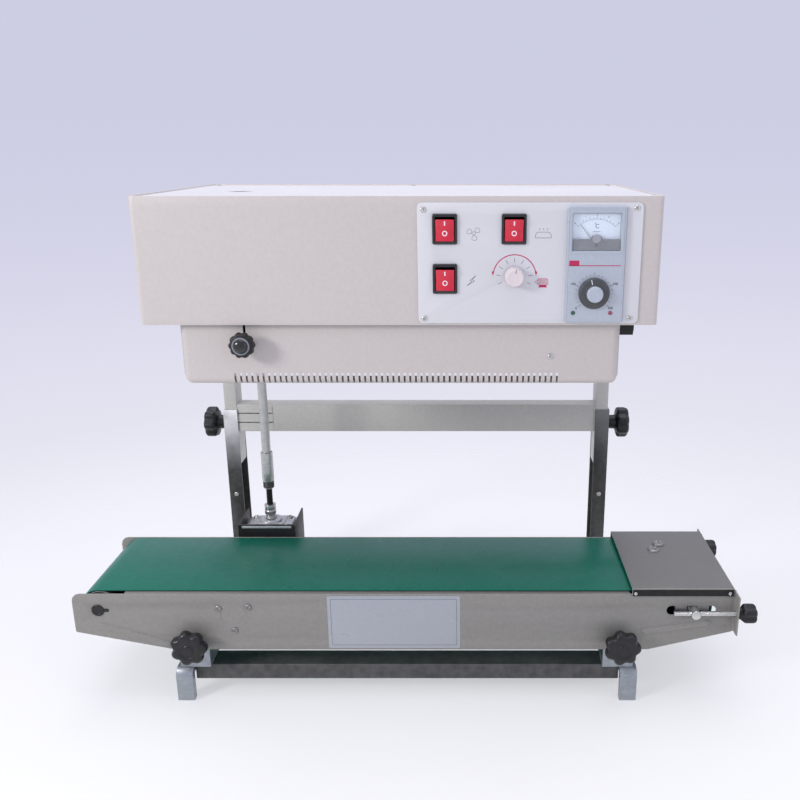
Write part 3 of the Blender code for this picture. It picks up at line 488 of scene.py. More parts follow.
def place(shape: Surface | Array | str, name: str, look: "Finish | ClearWindow", body: str, slot: str,
        nodes: Sequence[str] = (), wall: float = 0.0, edge: float = 0.0, smooth: float = 38.0) -> bpy.types.Object:
    """Make a finished piece and let it ride on its body.

    Args:
        shape: A surface, a grid to close over both ends, or a node whose merged copy is softened.
        name: Name of the piece.
        look: Its finish.
        body: The body it rides on.
        slot: Name of the record's material slot; not used.
        nodes: Nodes it stands for.
        wall: Thickness put behind an open skin.
        edge: Width of the rounding on edges.
        smooth: Angle in degrees above which an edge is sharp.

    Returns:
        The piece.
    """
    if isinstance(shape, str):
        mesh = merged_copy(shape, name)
        nodes = (shape, *nodes)
    else:
        mesh = (shape if isinstance(shape, Surface) else Surface().solid(shape)).mesh(name)
    mesh.materials.append(look.material())
    mesh.shade_smooth()
    piece = bpy.data.objects.new(name, mesh)
    bpy.context.scene.collection.objects.link(piece)
    if wall:
        shell = piece.modifiers.new("wall", "SOLIDIFY")
        shell.thickness = wall * MM
        shell.offset = -1.0
    if edge:
        rounding = piece.modifiers.new("edges", "BEVEL")
        rounding.width = edge * MM
        rounding.segments = 2
        rounding.limit_method = "ANGLE"
        rounding.angle_limit = radians(smooth)
        rounding.harden_normals = True
    else:
        mesh.set_sharp_from_angle(angle=radians(smooth))
    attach(piece, body)
    if nodes:
        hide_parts(*nodes)
    LOG.info("%s rides on %s", name, body)
    return piece


def merged_copy(node: str, name: str) -> bpy.types.Mesh:
    """Copy a node's mesh with its loose triangles joined and its flat faces made whole.

    Args:
        node: The node.
        name: Name of the new mesh.

    Returns:
        The mesh.
    """
    shape = bmesh.new()
    shape.from_mesh(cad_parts[node].data)
    bmesh.ops.remove_doubles(shape, verts=shape.verts, dist=2e-6)
    bmesh.ops.dissolve_limit(shape, angle_limit=radians(1.0), verts=shape.verts, edges=shape.edges)
    mesh = bpy.data.meshes.new(name)
    shape.to_mesh(mesh)
    shape.free()
    return mesh


# Finishes


def linear(display: Colour) -> Colour:
    """Turn display values from 0 to 255 into linear ones: v / 12.92 when dark, else a power of 2.4."""
    value = np.array(display) / 255.0
    return tuple(np.where(value <= 0.04045, value / 12.92, ((value + 0.055) / 1.055) ** 2.4).tolist())


def toned(colour: Colour, share: float) -> Colour:
    """Lighten a colour by a share of itself, or darken it when the share is negative."""
    return tuple(min(1.0, part * (1 + share)) for part in colour)


class Nodes:
    """Short hand for the nodes of one tree."""

    def __init__(self, tree: bpy.types.NodeTree) -> None:
        """Keep the tree."""
        self.tree = tree

    def add(self, kind: str, **settings: object) -> bpy.types.Node:
        """Add a node and set its properties.

        Args:
            kind: The node's type name.
            **settings: Properties of the node.

        Returns:
            The node.
        """
        node = self.tree.nodes.new(kind)
        for name, value in settings.items():
            setattr(node, name, value)
        return node

    def feed(self, target: Socket, value: object) -> None:
        """Link a socket into a target, or write a plain value on it."""
        if isinstance(value, Socket):
            self.tree.links.new(value, target)
        else:
            target.default_value = value

    def math(self, operation: str, a: object, b: object = 0.0) -> Socket:
        """Work out one sum."""
        node = self.add("ShaderNodeMath", operation=operation)
        self.feed(node.inputs[0], a)
        self.feed(node.inputs[1], b)
        return node.outputs[0]

    def spread(self, value: object, low: float, high: float, out_low: float, out_high: float) -> Socket:
        """Stretch the range low to high of a value over another range, and hold it there."""
        node = self.add("ShaderNodeMapRange")
        for socket, part in zip(node.inputs, (value, low, high, out_low, out_high)):
            self.feed(socket, part)
        return node.outputs[0]

    def blend(self, share: object, a: object, b: object, mode: str = "MIX") -> Socket:
        """Mix two colours.

        Args:
            share: How much of b.
            a: First colour, as three numbers or a socket.
            b: Second colour.
            mode: Way of mixing.

        Returns:
            The mixed colour.
        """
        node = self.add("ShaderNodeMix", data_type="RGBA", blend_type=mode)
        self.feed(node.inputs[0], share)
        for socket, colour in ((node.inputs[6], a), (node.inputs[7], b)):
            self.feed(socket, colour if isinstance(colour, Socket) else (*colour, 1.0))
        return node.outputs[2]

    def place(self, stretch: Point = (1.0, 1.0, 1.0)) -> Socket:
        """Read the piece's own coordinates in metres, stretched along each axis."""
        mapping = self.add("ShaderNodeMapping")
        mapping.inputs["Scale"].default_value = stretch
        self.feed(mapping.inputs["Vector"], self.add("ShaderNodeTexCoord").outputs["Object"])
        return mapping.outputs["Vector"]

    def axes(self, vector: Socket) -> bpy.types.NodeOutputs:
        """Split a vector into X, Y and Z."""
        split = self.add("ShaderNodeSeparateXYZ")
        self.feed(split.inputs[0], vector)
        return split.outputs

    def noise(self, scale: object, detail: float = 2.0, vector: object = None) -> Socket:
        """Read a cloudy pattern of a given scale per metre."""
        node = self.add("ShaderNodeTexNoise")
        self.feed(node.inputs["Vector"], self.place() if vector is None else vector)
        self.feed(node.inputs["Scale"], scale)
        node.inputs["Detail"].default_value = detail
        return node.outputs["Fac"]


def blank_material(name: str) -> tuple[bpy.types.Material, Nodes, bpy.types.Node]:
    """Start a material.

    Args:
        name: Its name.

    Returns:
        The material, its nodes and its Principled shader.
    """
    material = bpy.data.materials.new(name)
    material.use_nodes = True
    return material, Nodes(material.node_tree), material.node_tree.nodes["Principled BSDF"]


class Effect(Enum):
    """Effects shared by the finishes, each a group of nodes that is built once."""

    GRAIN = "surface grain"
    SMEARS = "handling smears"
    WORN_EDGES = "worn edges"
    DUST = "settled dust"
    BRUSHED = "brushed lines"
    SPANGLE = "zinc spangle"
    WEAVE = "cloth weave"


@dataclass
class EffectShelf:
    """Builds each shared group of nodes once and puts it into materials."""

    made: dict[Effect, bpy.types.NodeTree] = field(default_factory=dict)

    def use(self, nodes: Nodes, effect: Effect, value: float | None = None) -> bpy.types.Node:
        """Place a group in a material.

        Args:
            nodes: The material's nodes.
            effect: Which group.
            value: Its one input, or nothing for the usual.

        Returns:
            The group's node.
        """
        if effect not in self.made:
            self.made[effect] = self.build(effect)
        node = nodes.add("ShaderNodeGroup", node_tree=self.made[effect])
        if value is not None:
            node.inputs[0].default_value = value
        return node

    def build(self, effect: Effect) -> bpy.types.NodeTree:
        """Build one group with its named input and outputs.

        Args:
            effect: Which group.

        Returns:
            The group.
        """
        tree = bpy.data.node_groups.new(effect.value, "ShaderNodeTree")
        name, value = INPUTS[effect]
        socket = tree.interface.new_socket(name, in_out="INPUT", socket_type="NodeSocketFloat")
        socket.default_value = value
        nodes = Nodes(tree)
        entry = nodes.add("NodeGroupInput")
        made = getattr(self, effect.name.lower())(nodes, entry.outputs[0])
        for name in made:
            tree.interface.new_socket(name, in_out="OUTPUT", socket_type="NodeSocketFloat")
        leave = nodes.add("NodeGroupOutput")
        for name, socket in made.items():
            nodes.feed(leave.inputs[name], socket)
        return tree

    def grain(self, nodes: Nodes, size: Socket) -> Sockets:
        """Fine texture: two clouds, one four times coarser, averaged."""
        fine = nodes.noise(size, 3.0)
        coarse = nodes.noise(nodes.math("MULTIPLY", size, 0.27), 2.0)
        both = nodes.math("ADD", nodes.math("MULTIPLY", fine, 0.6), nodes.math("MULTIPLY", coarse, 0.4))
        return {"Height": both, "Tone": coarse}

    def smears(self, nodes: Nodes, size: Socket) -> Sockets:
        """Broad marks of handling: a stretched cloud sharpened where it passes the middle."""
        cloud = nodes.noise(size, 4.0, nodes.place((1.0, 1.0, 2.4)))
        return {"Mask": nodes.spread(cloud, 0.42, 0.66, 0.0, 1.0)}

    def worn_edges(self, nodes: Nodes, size: Socket) -> Sockets:
        """Edges: where the rounded normal leaves the true one, broken up by a cloud."""
        rounded = nodes.add("ShaderNodeBevel", samples=4)
        nodes.feed(rounded.inputs["Radius"], size)
        alike = nodes.add("ShaderNodeVectorMath", operation="DOT_PRODUCT")
        nodes.feed(alike.inputs[0], rounded.outputs["Normal"])
        nodes.feed(alike.inputs[1], nodes.add("ShaderNodeNewGeometry").outputs["Normal"])
        turned_away = nodes.spread(alike.outputs["Value"], 0.99, 0.80, 0.0, 1.0)
        broken = nodes.spread(nodes.noise(160.0, 4.0), 0.35, 0.65, 0.35, 1.0)
        return {"Mask": nodes.math("MULTIPLY", turned_away, broken)}

    def dust(self, nodes: Nodes, size: Socket) -> Sockets:
        """Dust: faces that look up, broken up by a cloud."""
        upward = nodes.axes(nodes.add("ShaderNodeNewGeometry").outputs["Normal"])["Z"]
        level = nodes.spread(upward, 0.35, 0.95, 0.0, 1.0)
        cloud = nodes.spread(nodes.noise(size, 5.0), 0.30, 0.75, 0.25, 1.0)
        return {"Mask": nodes.math("MULTIPLY", level, cloud)}

    def brushed(self, nodes: Nodes, size: Socket) -> Sockets:
        """Brushed lines: a cloud stretched fifty times along X, in two sizes."""
        fine = nodes.noise(size, 3.0, nodes.place((0.02, 1.0, 1.0)))
        broad = nodes.noise(nodes.math("MULTIPLY", size, 0.2), 2.0, nodes.place((0.05, 1.0, 1.0)))
        return {"Height": fine, "Tone": nodes.math("MULTIPLY", nodes.math("ADD", fine, broad), 0.5)}

    def spangle(self, nodes: Nodes, size: Socket) -> Sockets:
        """Zinc crystals: each cell of a random pattern has its own tone, with faint borders."""
        cells = nodes.add("ShaderNodeTexVoronoi")
        nodes.feed(cells.inputs["Vector"], nodes.place((1.0, 1.0, 1.4)))
        nodes.feed(cells.inputs["Scale"], size)
        tone = nodes.add("ShaderNodeSeparateColor")
        nodes.feed(tone.inputs[0], cells.outputs["Color"])
        return {"Tone": tone.outputs[0], "Height": nodes.math("MULTIPLY", cells.outputs["Distance"], 0.6)}

    def weave(self, nodes: Nodes, size: Socket) -> Sockets:
        """Weave: the product of two sine waves, one along the cloth and one across it."""
        axes = nodes.axes(nodes.place())
        waves = [nodes.math("SINE", nodes.math("MULTIPLY", axis, size)) for axis in (nodes.math("ADD", axes["X"],
            axes["Y"]), axes["Z"])]
        return {"Height": nodes.spread(nodes.math("MULTIPLY", *waves), -1.0, 1.0, 0.0, 1.0)}


INPUTS: dict[Effect, tuple[str, float]] = {
    Effect.GRAIN: ("Scale", 900.0),
    Effect.SMEARS: ("Scale", 9.0),
    Effect.WORN_EDGES: ("Reach", 0.0012),
    Effect.DUST: ("Scale", 30.0),
    Effect.BRUSHED: ("Scale", 2500.0),
    Effect.SPANGLE: ("Scale", 130.0),
    Effect.WEAVE: ("Scale", 3600.0),
}
SHELF = EffectShelf()


@dataclass(frozen=True)
class Finish:
    """A surface finish: one colour broken up by grain, smears, worn edges and dust, with a painted highlight on some.

    Colours are display values up to 255. Grain is its scale per metre, its height in millimetres and its share
    of the tone. Edge is the colour and share of worn edges. Pattern is an effect, its scale, tone and height.
    Painted highlight is the colour of a reflection painted on, and the heights in metres where it starts and is full.
    """

    name: str
    colour: Colour
    metal: float = 0.0
    rough: float = 0.45
    grain: tuple[float, float, float] = (900.0, 0.02, 0.06)
    smear: float = 0.08
    edge: tuple[Colour, float] | None = None
    dust: float = 0.08
    coat: float = 0.0
    specular: float = 0.5
    pattern: tuple[Effect, float, float, float] | None = None
    painted_highlight: tuple[Colour, float, float] | None = None

    def material(self) -> bpy.types.Material:
        """Build the finish once and hand it out again after that."""
        return bpy.data.materials.get(self.name) or self.build()

    def build(self) -> bpy.types.Material:
        """Build the material.

        Returns:
            The material, with its colour, roughness and relief driven by the shared effects.
        """
        material, nodes, shader = blank_material(self.name)
        for name, value in (("Metallic", self.metal), ("Specular IOR Level", self.specular),
                ("Coat Weight", self.coat), ("Coat Roughness", 0.08)):
            shader.inputs[name].default_value = value
        scale, relief, mottle = self.grain
        base = linear(self.colour)
        grain = SHELF.use(nodes, Effect.GRAIN, scale)
        smears = SHELF.use(nodes, Effect.SMEARS)
        dust = SHELF.use(nodes, Effect.DUST)
        tone = nodes.spread(grain.outputs["Tone"], 0.3, 0.7, 0.0, 1.0)
        colour = nodes.blend(tone, toned(base, -mottle), toned(base, mottle))
        height = nodes.math("MULTIPLY", grain.outputs["Height"], relief)
        if self.pattern:
            effect, scale, contrast, relief = self.pattern
            cells = SHELF.use(nodes, effect, scale)
            if "Tone" in cells.outputs:
                tones = nodes.blend(cells.outputs["Tone"], toned(base, -contrast), toned(base, contrast))
                colour = nodes.blend(0.7, colour, tones)
            height = nodes.math("ADD", height, nodes.math("MULTIPLY", cells.outputs["Height"], relief))
        # Painted highlight: a bright reflection painted into the colour, rising with height and broken up by a cloud.
        if self.painted_highlight:
            highlight_colour, start, full = self.painted_highlight
            highlight_rise = nodes.spread(nodes.axes(nodes.place())["Z"], start, full, 0.0, 1.0)
            patchy = nodes.spread(nodes.noise(38.0, 4.0), 0.3, 0.6, 0.55, 1.0)
            colour = nodes.blend(nodes.math("MULTIPLY", highlight_rise, patchy), colour, linear(highlight_colour))
        if self.edge:
            edges = SHELF.use(nodes, Effect.WORN_EDGES)
            share = nodes.math("MULTIPLY", edges.outputs["Mask"], self.edge[1])
            colour = nodes.blend(share, colour, linear(self.edge[0]))
        share = nodes.math("MULTIPLY", dust.outputs["Mask"], self.dust)
        nodes.feed(shader.inputs["Base Color"], nodes.blend(share, colour, (0.55, 0.54, 0.51)))
        rough = nodes.spread(smears.outputs["Mask"], 0.0, 1.0, self.rough, self.rough + self.smear)
        nodes.feed(shader.inputs["Roughness"], nodes.math("ADD", rough, nodes.math("MULTIPLY", share, 0.6)))
        bump = nodes.add("ShaderNodeBump")
        bump.inputs["Strength"].default_value = 1.0
        bump.inputs["Distance"].default_value = MM
        nodes.feed(bump.inputs["Height"], height)
        nodes.feed(shader.inputs["Normal"], bump.outputs["Normal"])
        return material


@dataclass(frozen=True)
class ClearWindow:
    """Clear plastic: a glossy skin that lets most of what is behind it through."""

    name: str = "clear acrylic"
    cover: float = 0.10

    def material(self) -> bpy.types.Material:
        """Build the window's material once.

        Returns:
            The material.
        """
        if self.name in bpy.data.materials:
            return bpy.data.materials[self.name]
        material, nodes, shader = blank_material(self.name)
        shader.inputs["Base Color"].default_value = (0.92, 0.95, 1.0, 1.0)
        shader.inputs["Alpha"].default_value = self.cover
        smears = SHELF.use(nodes, Effect.SMEARS)
        nodes.feed(shader.inputs["Roughness"], nodes.spread(smears.outputs["Mask"], 0.0, 1.0, 0.06, 0.16))
        return material


PAINT = Finish(
    "powder paint, warm grey", (197, 190, 185), rough=0.42, grain=(1100.0, 0.035, 0.025),
    edge=((226, 222, 220), 0.45), dust=0.05)
COVER_PAINT = Finish("powder paint, top cover", (214, 212, 212), rough=0.3, grain=(1100.0, 0.03, 0.02), dust=0.05)
# The conveyor's plates: the head's warm grey paint darkened as painted shade, for the dimmer lower part of the
# machine.
SHADED_CONVEYOR_PAINT = Finish(
    "powder paint, conveyor grey", (136, 134, 127), rough=0.44, grain=(900.0, 0.05, 0.05),
    edge=((186, 184, 180), 0.5), dust=0.06)
FRAME_PAINT = Finish(
    "powder paint, lifting frame", (200, 198, 190), rough=0.45, grain=(1000.0, 0.04, 0.04),
    edge=((205, 204, 200), 0.5), dust=0.08)
STEEL = Finish(
    "plated steel", (150, 150, 148), metal=0.9, rough=0.36, grain=(700.0, 0.012, 0.1), smear=0.16,
    edge=((205, 205, 202), 0.5), dust=0.12)
DARK_STEEL = Finish(
    "hot rolled steel", (92, 92, 90), metal=0.75, rough=0.46, grain=(420.0, 0.03, 0.18), smear=0.16,
    edge=((160, 160, 156), 0.5), dust=0.15)
# The left post's bright top is a painted reflection, blended in from 0.19 m up to 0.272 m.
CHANNEL_STEEL = Finish(
    "dark zinc-plated channel", (92, 92, 90), metal=0.85, rough=0.38, grain=(600.0, 0.015, 0.14), smear=0.16,
    edge=((190, 190, 186), 0.5), dust=0.1, painted_highlight=((236, 236, 234), 0.19, 0.272))
# The right post: the same steel in painted shade, with a dimmer painted reflection from 0.22 m up.
SHADED_CHANNEL_STEEL = replace(CHANNEL_STEEL, name="dull zinc-plated channel", painted_highlight=((134, 134, 132), 0.22, 0.272))
BRIGHT_STEEL = Finish(
    "bright turned steel", (205, 205, 201), metal=0.9, rough=0.22, grain=(900.0, 0.006, 0.05), smear=0.1, dust=0.03)
SHAFT_STEEL = Finish(
    "ground shaft steel", (190, 191, 186), metal=0.7, rough=0.3, grain=(800.0, 0.008, 0.08), smear=0.12,
    edge=((225, 225, 222), 0.5), dust=0.05)
BLACK_STEEL = Finish(
    "black oxide steel", (34, 34, 34), metal=0.5, rough=0.42, grain=(800.0, 0.02, 0.15), edge=((150, 148, 142), 0.8),
    dust=0.12)
GALVANISED = Finish(
    "galvanised steel", (158, 164, 168), metal=0.7, rough=0.42, grain=(600.0, 0.015, 0.06), smear=0.14,
    edge=((205, 208, 210), 0.5), dust=0.1, pattern=(Effect.SPANGLE, 150.0, 0.12, 0.01))
STAINLESS = Finish(
    "brushed stainless", (143, 142, 134), metal=1.0, rough=0.34, grain=(500.0, 0.004, 0.03), smear=0.08,
    edge=((200, 200, 200), 0.5), dust=0.06, pattern=(Effect.BRUSHED, 2600.0, 0.08, 0.006))
# The cover's bent-down front lip, painted near black: a painted reflection of the dark surroundings.
LIP_PAINTED_REFLECTION = Finish(
    "darkened stainless lip", (40, 40, 39), metal=0.6, rough=0.4, grain=(420.0, 0.012, 0.16), smear=0.12,
    edge=((120, 120, 118), 0.5), dust=0.04)
ALUMINIUM = Finish(
    "cast aluminium", (206, 207, 208), metal=0.6, rough=0.36, grain=(600.0, 0.03, 0.07), smear=0.1,
    edge=((225, 226, 228), 0.5), dust=0.08)
PANEL_FACE = Finish(
    "printed panel face", (214, 214, 216), metal=0.1, rough=0.33, grain=(1500.0, 0.012, 0.015), smear=0.06,
    dust=0.02, pattern=(Effect.BRUSHED, 1800.0, 0.02, 0.003))
BRASS = Finish(
    "brass heating block", (196, 164, 106), metal=1.0, rough=0.34, grain=(700.0, 0.01, 0.1), smear=0.2,
    edge=((226, 200, 150), 0.5), dust=0.08)
BLACK_PLASTIC = Finish(
    "moulded black plastic", (20, 20, 21), rough=0.34, grain=(1300.0, 0.02, 0.1), smear=0.12,
    edge=((48, 48, 50), 0.4), dust=0.03)
GLOSS_BLACK = Finish(
    "glossy black plastic", (22, 24, 23), rough=0.16, grain=(900.0, 0.004, 0.05), smear=0.08, dust=0.02, coat=0.4)
CREAM_PLASTIC = Finish(
    "cream knob plastic", (220, 210, 210), rough=0.36, grain=(1200.0, 0.012, 0.02), smear=0.08, dust=0.03)
INSTRUMENT_PLASTIC = Finish(
    "instrument plastic", (176, 184, 194), rough=0.24, grain=(1200.0, 0.008, 0.03), smear=0.08, dust=0.02, coat=0.3)
SHADED_PLASTIC = Finish(
    "instrument side strip", (134, 136, 144), rough=0.28, grain=(1200.0, 0.008, 0.05), smear=0.08, dust=0.02,
    coat=0.2)
METER_FACE = Finish("meter scale card", (228, 240, 250), rough=0.5, grain=(900.0, 0.002, 0.02), dust=0.0)
METER_SHADE = Finish("meter lower mask", (84, 88, 92), rough=0.35, grain=(140.0, 0.004, 0.45), dust=0.02, coat=0.2)
DIAL_PLASTIC = Finish(
    "dial ring plastic", (72, 74, 76), rough=0.32, grain=(1200.0, 0.012, 0.06), edge=((120, 122, 124), 0.4),
    dust=0.03)
RED_PLASTIC = Finish(
    "red rocker plastic", (206, 5, 48), rough=0.22, grain=(1000.0, 0.003, 0.04), smear=0.06, dust=0.01, coat=0.5)
RUBBER = Finish("black rubber", (40, 40, 39), rough=0.62, grain=(800.0, 0.05, 0.15), smear=0.12, dust=0.2)
BELT = Finish(
    "green belt cover", (3, 108, 86), rough=0.22, grain=(420.0, 0.01, 0.06), smear=0.1, dust=0.02, specular=0.3)
BELT_EDGE = Finish("belt edge cloth", (30, 64, 58), rough=0.7, grain=(1500.0, 0.04, 0.2), dust=0.05)
SEAL_CLOTH = Finish(
    "coated glass cloth", (150, 112, 74), rough=0.34, grain=(900.0, 0.006, 0.1), smear=0.12, dust=0.02,
    pattern=(Effect.WEAVE, 4200.0, 0.0, 0.03))
MOTOR_ENAMEL = Finish(
    "motor enamel", (70, 76, 80), metal=0.2, rough=0.4, grain=(700.0, 0.05, 0.08), edge=((120, 124, 126), 0.5),
    dust=0.12)
LABEL_FILM = Finish(
    "label film", (164, 168, 172), metal=0.1, rough=0.26, grain=(1300.0, 0.004, 0.02), smear=0.1, dust=0.03)
INK_GREY = Finish("grey ink", (96, 96, 104), rough=0.5, grain=(900.0, 0.004, 0.06), dust=0.0)
INK_DARK = Finish("dark ink", (44, 46, 52), rough=0.5, grain=(900.0, 0.004, 0.06), dust=0.0)
INK_CRIMSON = Finish("crimson ink", (186, 32, 84), rough=0.45, grain=(900.0, 0.004, 0.06), dust=0.0)
INK_WHITE = Finish("white ink", (244, 236, 240), rough=0.4, grain=(900.0, 0.004, 0.06), dust=0.0)
LAMP_GREEN = Finish("green lamp lens", (44, 88, 60), rough=0.14, grain=(900.0, 0.0, 0.06), coat=0.5)
LAMP_RED = Finish("red lamp lens", (148, 66, 84), rough=0.14, grain=(900.0, 0.0, 0.06), coat=0.5)
WINDOW = ClearWindow()


# Sub-assemblies


@dataclass
class StarKnob:
    """A moulded star grip with a metal insert, sized from its node's box."""

    radius: float
    back: float
    front: float
    lobes: int = 7
    depth: float = 0.17
    neck: float = 9.5
    neck_length: float = 8.0

    def shape(self, facing: Facing, centre: Point) -> Surface:
        """Build the grip: a neck, a flared lobed body and a front face dished around its hub.

        Args:
            facing: Its w points from the machine to the hand.
            centre: The point on the axis where w is zero.

        Returns:
            The surface.
        """
        r = self.radius
        start = self.back + self.neck_length
        rows = [(self.back, 2.0, 0.0), (self.back, self.neck, 0.0), (start - 1.0, self.neck + 0.8, 0.0),
            (start, r * 0.80, 0.8), (start + 2.2, r, 1.0), (self.front - 3.5, r, 1.0), (self.front - 0.6, r * 0.86,
            1.0), (self.front - 0.2, r * 0.52, 0.35), (self.front - 1.4, r * 0.44, 0.0), (self.front - 1.4, r * 0.30,
            0.0), (self.front - 0.1, r * 0.27, 0.0), (self.front, r * 0.05, 0.0)]
        grid = lobed(facing, centre, rows, self.lobes, self.depth, ease=2.0)
        return Surface().solid(grid)


def threaded_rod(facing: Facing, centre: Point, low: float, high: float, radius: float, pitch: float = 1.25) -> Array:
    """Turn a rod whose profile is a row of small raised cosines.

    Args:
        facing: Its w is the axis.
        centre: A point on the axis.
        low: Lower end along w.
        high: Upper end.
        radius: Outer radius.
        pitch: Distance from crest to crest.

    Returns:
        A grid to close around, with caps.
    """
    height = np.linspace(low, high, max(8, int((high - low) / pitch * 4)))
    depth = 0.30 * (0.5 - 0.5 * np.cos(2 * pi * (height - low) / pitch))
    return turned(facing, centre, np.stack((height, radius - depth), axis=-1), 20)


@dataclass
class Stand:
    """Skids, cross rails, post channels, slotted brackets and their fixings."""

    post_screw_z: float = 152.0
    foot_screw_drop: float = 11.0

    def build(self) -> None:
        """Soften the folded steel and add the screws that hold it."""
        # The left post takes the steel with a painted reflection, the right one its copy in painted shade.
        for side, channel in (("left", CHANNEL_STEEL), ("right", SHADED_CHANNEL_STEEL)):
            place(f"skid_{side}", f"skid_{side}_folded", GALVANISED, "base", "galvanised", edge=0.5)
            place(f"post_channel_{side}", f"post_{side}_folded", channel, "base", "steel", edge=0.6)
            place(f"conveyor_bracket_{side}", f"bracket_{side}_folded", GALVANISED, "base", "galvanised", edge=0.5)
        for row in ("front", "rear"):
            place(f"{row}_cross_rail", f"{row}_rail_tube", DARK_STEEL, "base", "steel", edge=1.2)
        self.build_screws()

    def build_screws(self) -> None:
        """Add pan-head screws on the posts, the skids' sides and the bracket floors."""
        screws = Surface()
        head = Screw(3.2, 1.9)
        for side, facing in ((-1, LEFT), (1, RIGHT)):
            word = "left" if side < 0 else "right"
            post = Box.of(f"post_channel_{word}")
            skid = Box.of(f"skid_{word}")
            outer = skid.left if side < 0 else skid.right
            head.add(screws, FRONT, (post.x, post.front, self.post_screw_z), 0.3)
            for y in (23.0, 327.0):
                head.add(screws, facing, (outer, y, skid.top - self.foot_screw_drop), 0.9)
            for z in (60.0, 92.0):
                head.add(screws, facing, (outer, post.y, z), 0.2)
            bracket = Box.of(f"conveyor_bracket_{word}")
            for y in (30.0, 122.0):
                head.add(screws, UP, (bracket.x, y, bracket.bottom + 2.8), 0.6)
        place(screws, "stand_screws", BRIGHT_STEEL, "base", "steel")


@dataclass
class Conveyor:
    """Side plates, deck, belt, rollers, stainless end cover, tension screws and clamp knobs."""

    roller_radius: float = 21.0
    belt_sheet: float = 1.8
    belt_gap: float = 0.3
    bead_width: float = 7.6
    bead_height: float = 1.9
    label_low: tuple[float, float] = (-91.0, 69.5)
    label_high: tuple[float, float] = (64.0, 138.0)

    def build(self) -> None:
        """Build every piece of the conveyor."""
        self.build_frame()
        self.build_belt()
        self.build_rollers()
        self.build_cover()
        self.build_tension_screws()
        self.build_plate_details()
        for side in ("left", "right"):
            node = f"conveyor_knob_{side}"
            box = Box.of(node)
            knob = StarKnob(21.5, 1.0, -box.front, neck_length=9.0)
            centre = (box.x, 0.0, 80.0)
            place(knob.shape(FRONT, centre), f"clamp_grip_{side}", BLACK_PLASTIC, node, "black_plastic", (node,))
            place(threaded_rod(FRONT, centre, -6.0, 1.2, 3.8), f"clamp_stud_{side}", BRIGHT_STEEL, node, "steel")

    def build_frame(self) -> None:
        """Soften the two side plates and the deck between them."""
        for row in ("front", "rear"):
            # Side plates in the warm grey paint darkened as painted shade.
            place(f"conveyor_side_{row}", f"side_plate_{row}", SHADED_CONVEYOR_PAINT, "conveyor", "paint", edge=0.45)
        place("conveyor_deck", "deck_folded", GALVANISED, "conveyor", "galvanised", edge=0.3)

    def wheels(self) -> list[tuple[float, float]]:
        """Centres of the three rollers as X and Z, anticlockwise seen from the front."""
        nodes = ("end_roller_left", "drive_roller", "end_roller_right")
        return [(Box.of(node).x, Box.of(node).z) for node in nodes]

    def build_belt(self) -> None:
        """Lay the belt round its rollers, with a cut edge of cloth on both sides."""
        box = Box.of("conveyor_belt")
        centre = (0.0, box.y, 0.0)
        width = box.depth
        inner = self.roller_radius + self.belt_gap
        cover = looped(FRONT, centre, self.wheels(), inner + 0.45, self.belt_sheet - 0.45, width, 0.6, 28)
        place(Surface().hoop(cover), "belt_cover", BELT, "conveyor", "belt_green", ("conveyor_belt",))
        ply = looped(FRONT, centre, self.wheels(), inner, 0.4, width - 0.6, 0.15, 28)
        place(Surface().hoop(ply), "belt_ply", BELT_EDGE, "conveyor", "belt_green")

    def build_rollers(self) -> None:
        """Turn the end rollers and the lagged drive roller, with their journals."""
        outer = self.roller_radius
        shell_low, shell_high = -144.5, -7.5
        for node, look, journal in (("end_roller_left", STEEL, 5.0), ("drive_roller", RUBBER, 7.0),
                                    ("end_roller_right", STEEL, 0.0)):
            box = Box.of(node)
            low, high = -box.rear, -box.front
            if journal:
                rows = [(low, 0.6), (low, journal - 0.8), (low + 0.8, journal), (shell_low, journal),
                        (shell_low, outer - 1.0), (shell_low + 1.0, outer), (shell_high - 1.0, outer),
                        (shell_high, outer - 1.0), (shell_high, journal), (high - 0.8, journal),
                        (high, journal - 0.8), (high, 0.6)]
            else:
                rows = [(low, 6.5), (low, outer - 1.0), (low + 1.0, outer), (high - 1.0, outer),
                        (high, outer - 1.0), (high, 6.5), (high - 6.0, 6.4), (low + 6.0, 6.4)]
            grid = turned(FRONT, (box.x, 0.0, box.z), rows, 64)
            place(grid if journal else Surface().hoop(grid), f"{node}_turned", look, node, "steel", (node,))

    def build_cover(self) -> None:
        """Bend the stainless cover over the tension end, lay a painted dark reflection on its front lip, and add its
        screws.
        """
        box = Box.of("end_cover")
        front, rear = box.front, box.rear
        lip, top = box.bottom, box.top
        line = eased([(rear, lip), (rear, top), (front, top), (front, lip)], [0, 1.8, 1.8, 0], 5)
        skin = Surface().grid(folded(line, box.left, box.right))
        place(skin, "end_cover_bent", STAINLESS, "conveyor", "stainless", ("end_cover",), wall=1.2, edge=0.2)
        # A thin strip on the front lip painted near black: painted dark reflection on the stainless, not a separate
        # part.
        strip = slab(FRONT, (box.x, front, (lip + top) / 2),
            rounded_rectangle(box.width - 1.6, top - lip - 1.4, 0.8), -0.1, 0.3, 0.12)
        place(strip, "cover_lip_painted_reflection", LIP_PAINTED_REFLECTION, "conveyor", "stainless")
        big = Surface()
        Screw(8.0, 2.2).add(big, UP, (309.0, 100.0, top), 0.5)
        Screw(8.0, 2.8).add(big, UP, (318.5, 116.5, top), 0.1)
        place(big, "cover_screws", STEEL, "conveyor", "steel")
        small = Surface()
        for x in (box.left + 4.0, box.right - 5.0):
            Screw(2.1, 1.2).add(small, FRONT, (x, front - 0.25, lip + 4.2), 0.7)
            Screw(1.9, 1.0).add(small, REAR, (x, rear, lip + 4.2), 0.7)
        place(small, "cover_lip_screws", BRIGHT_STEEL, "conveyor", "steel")

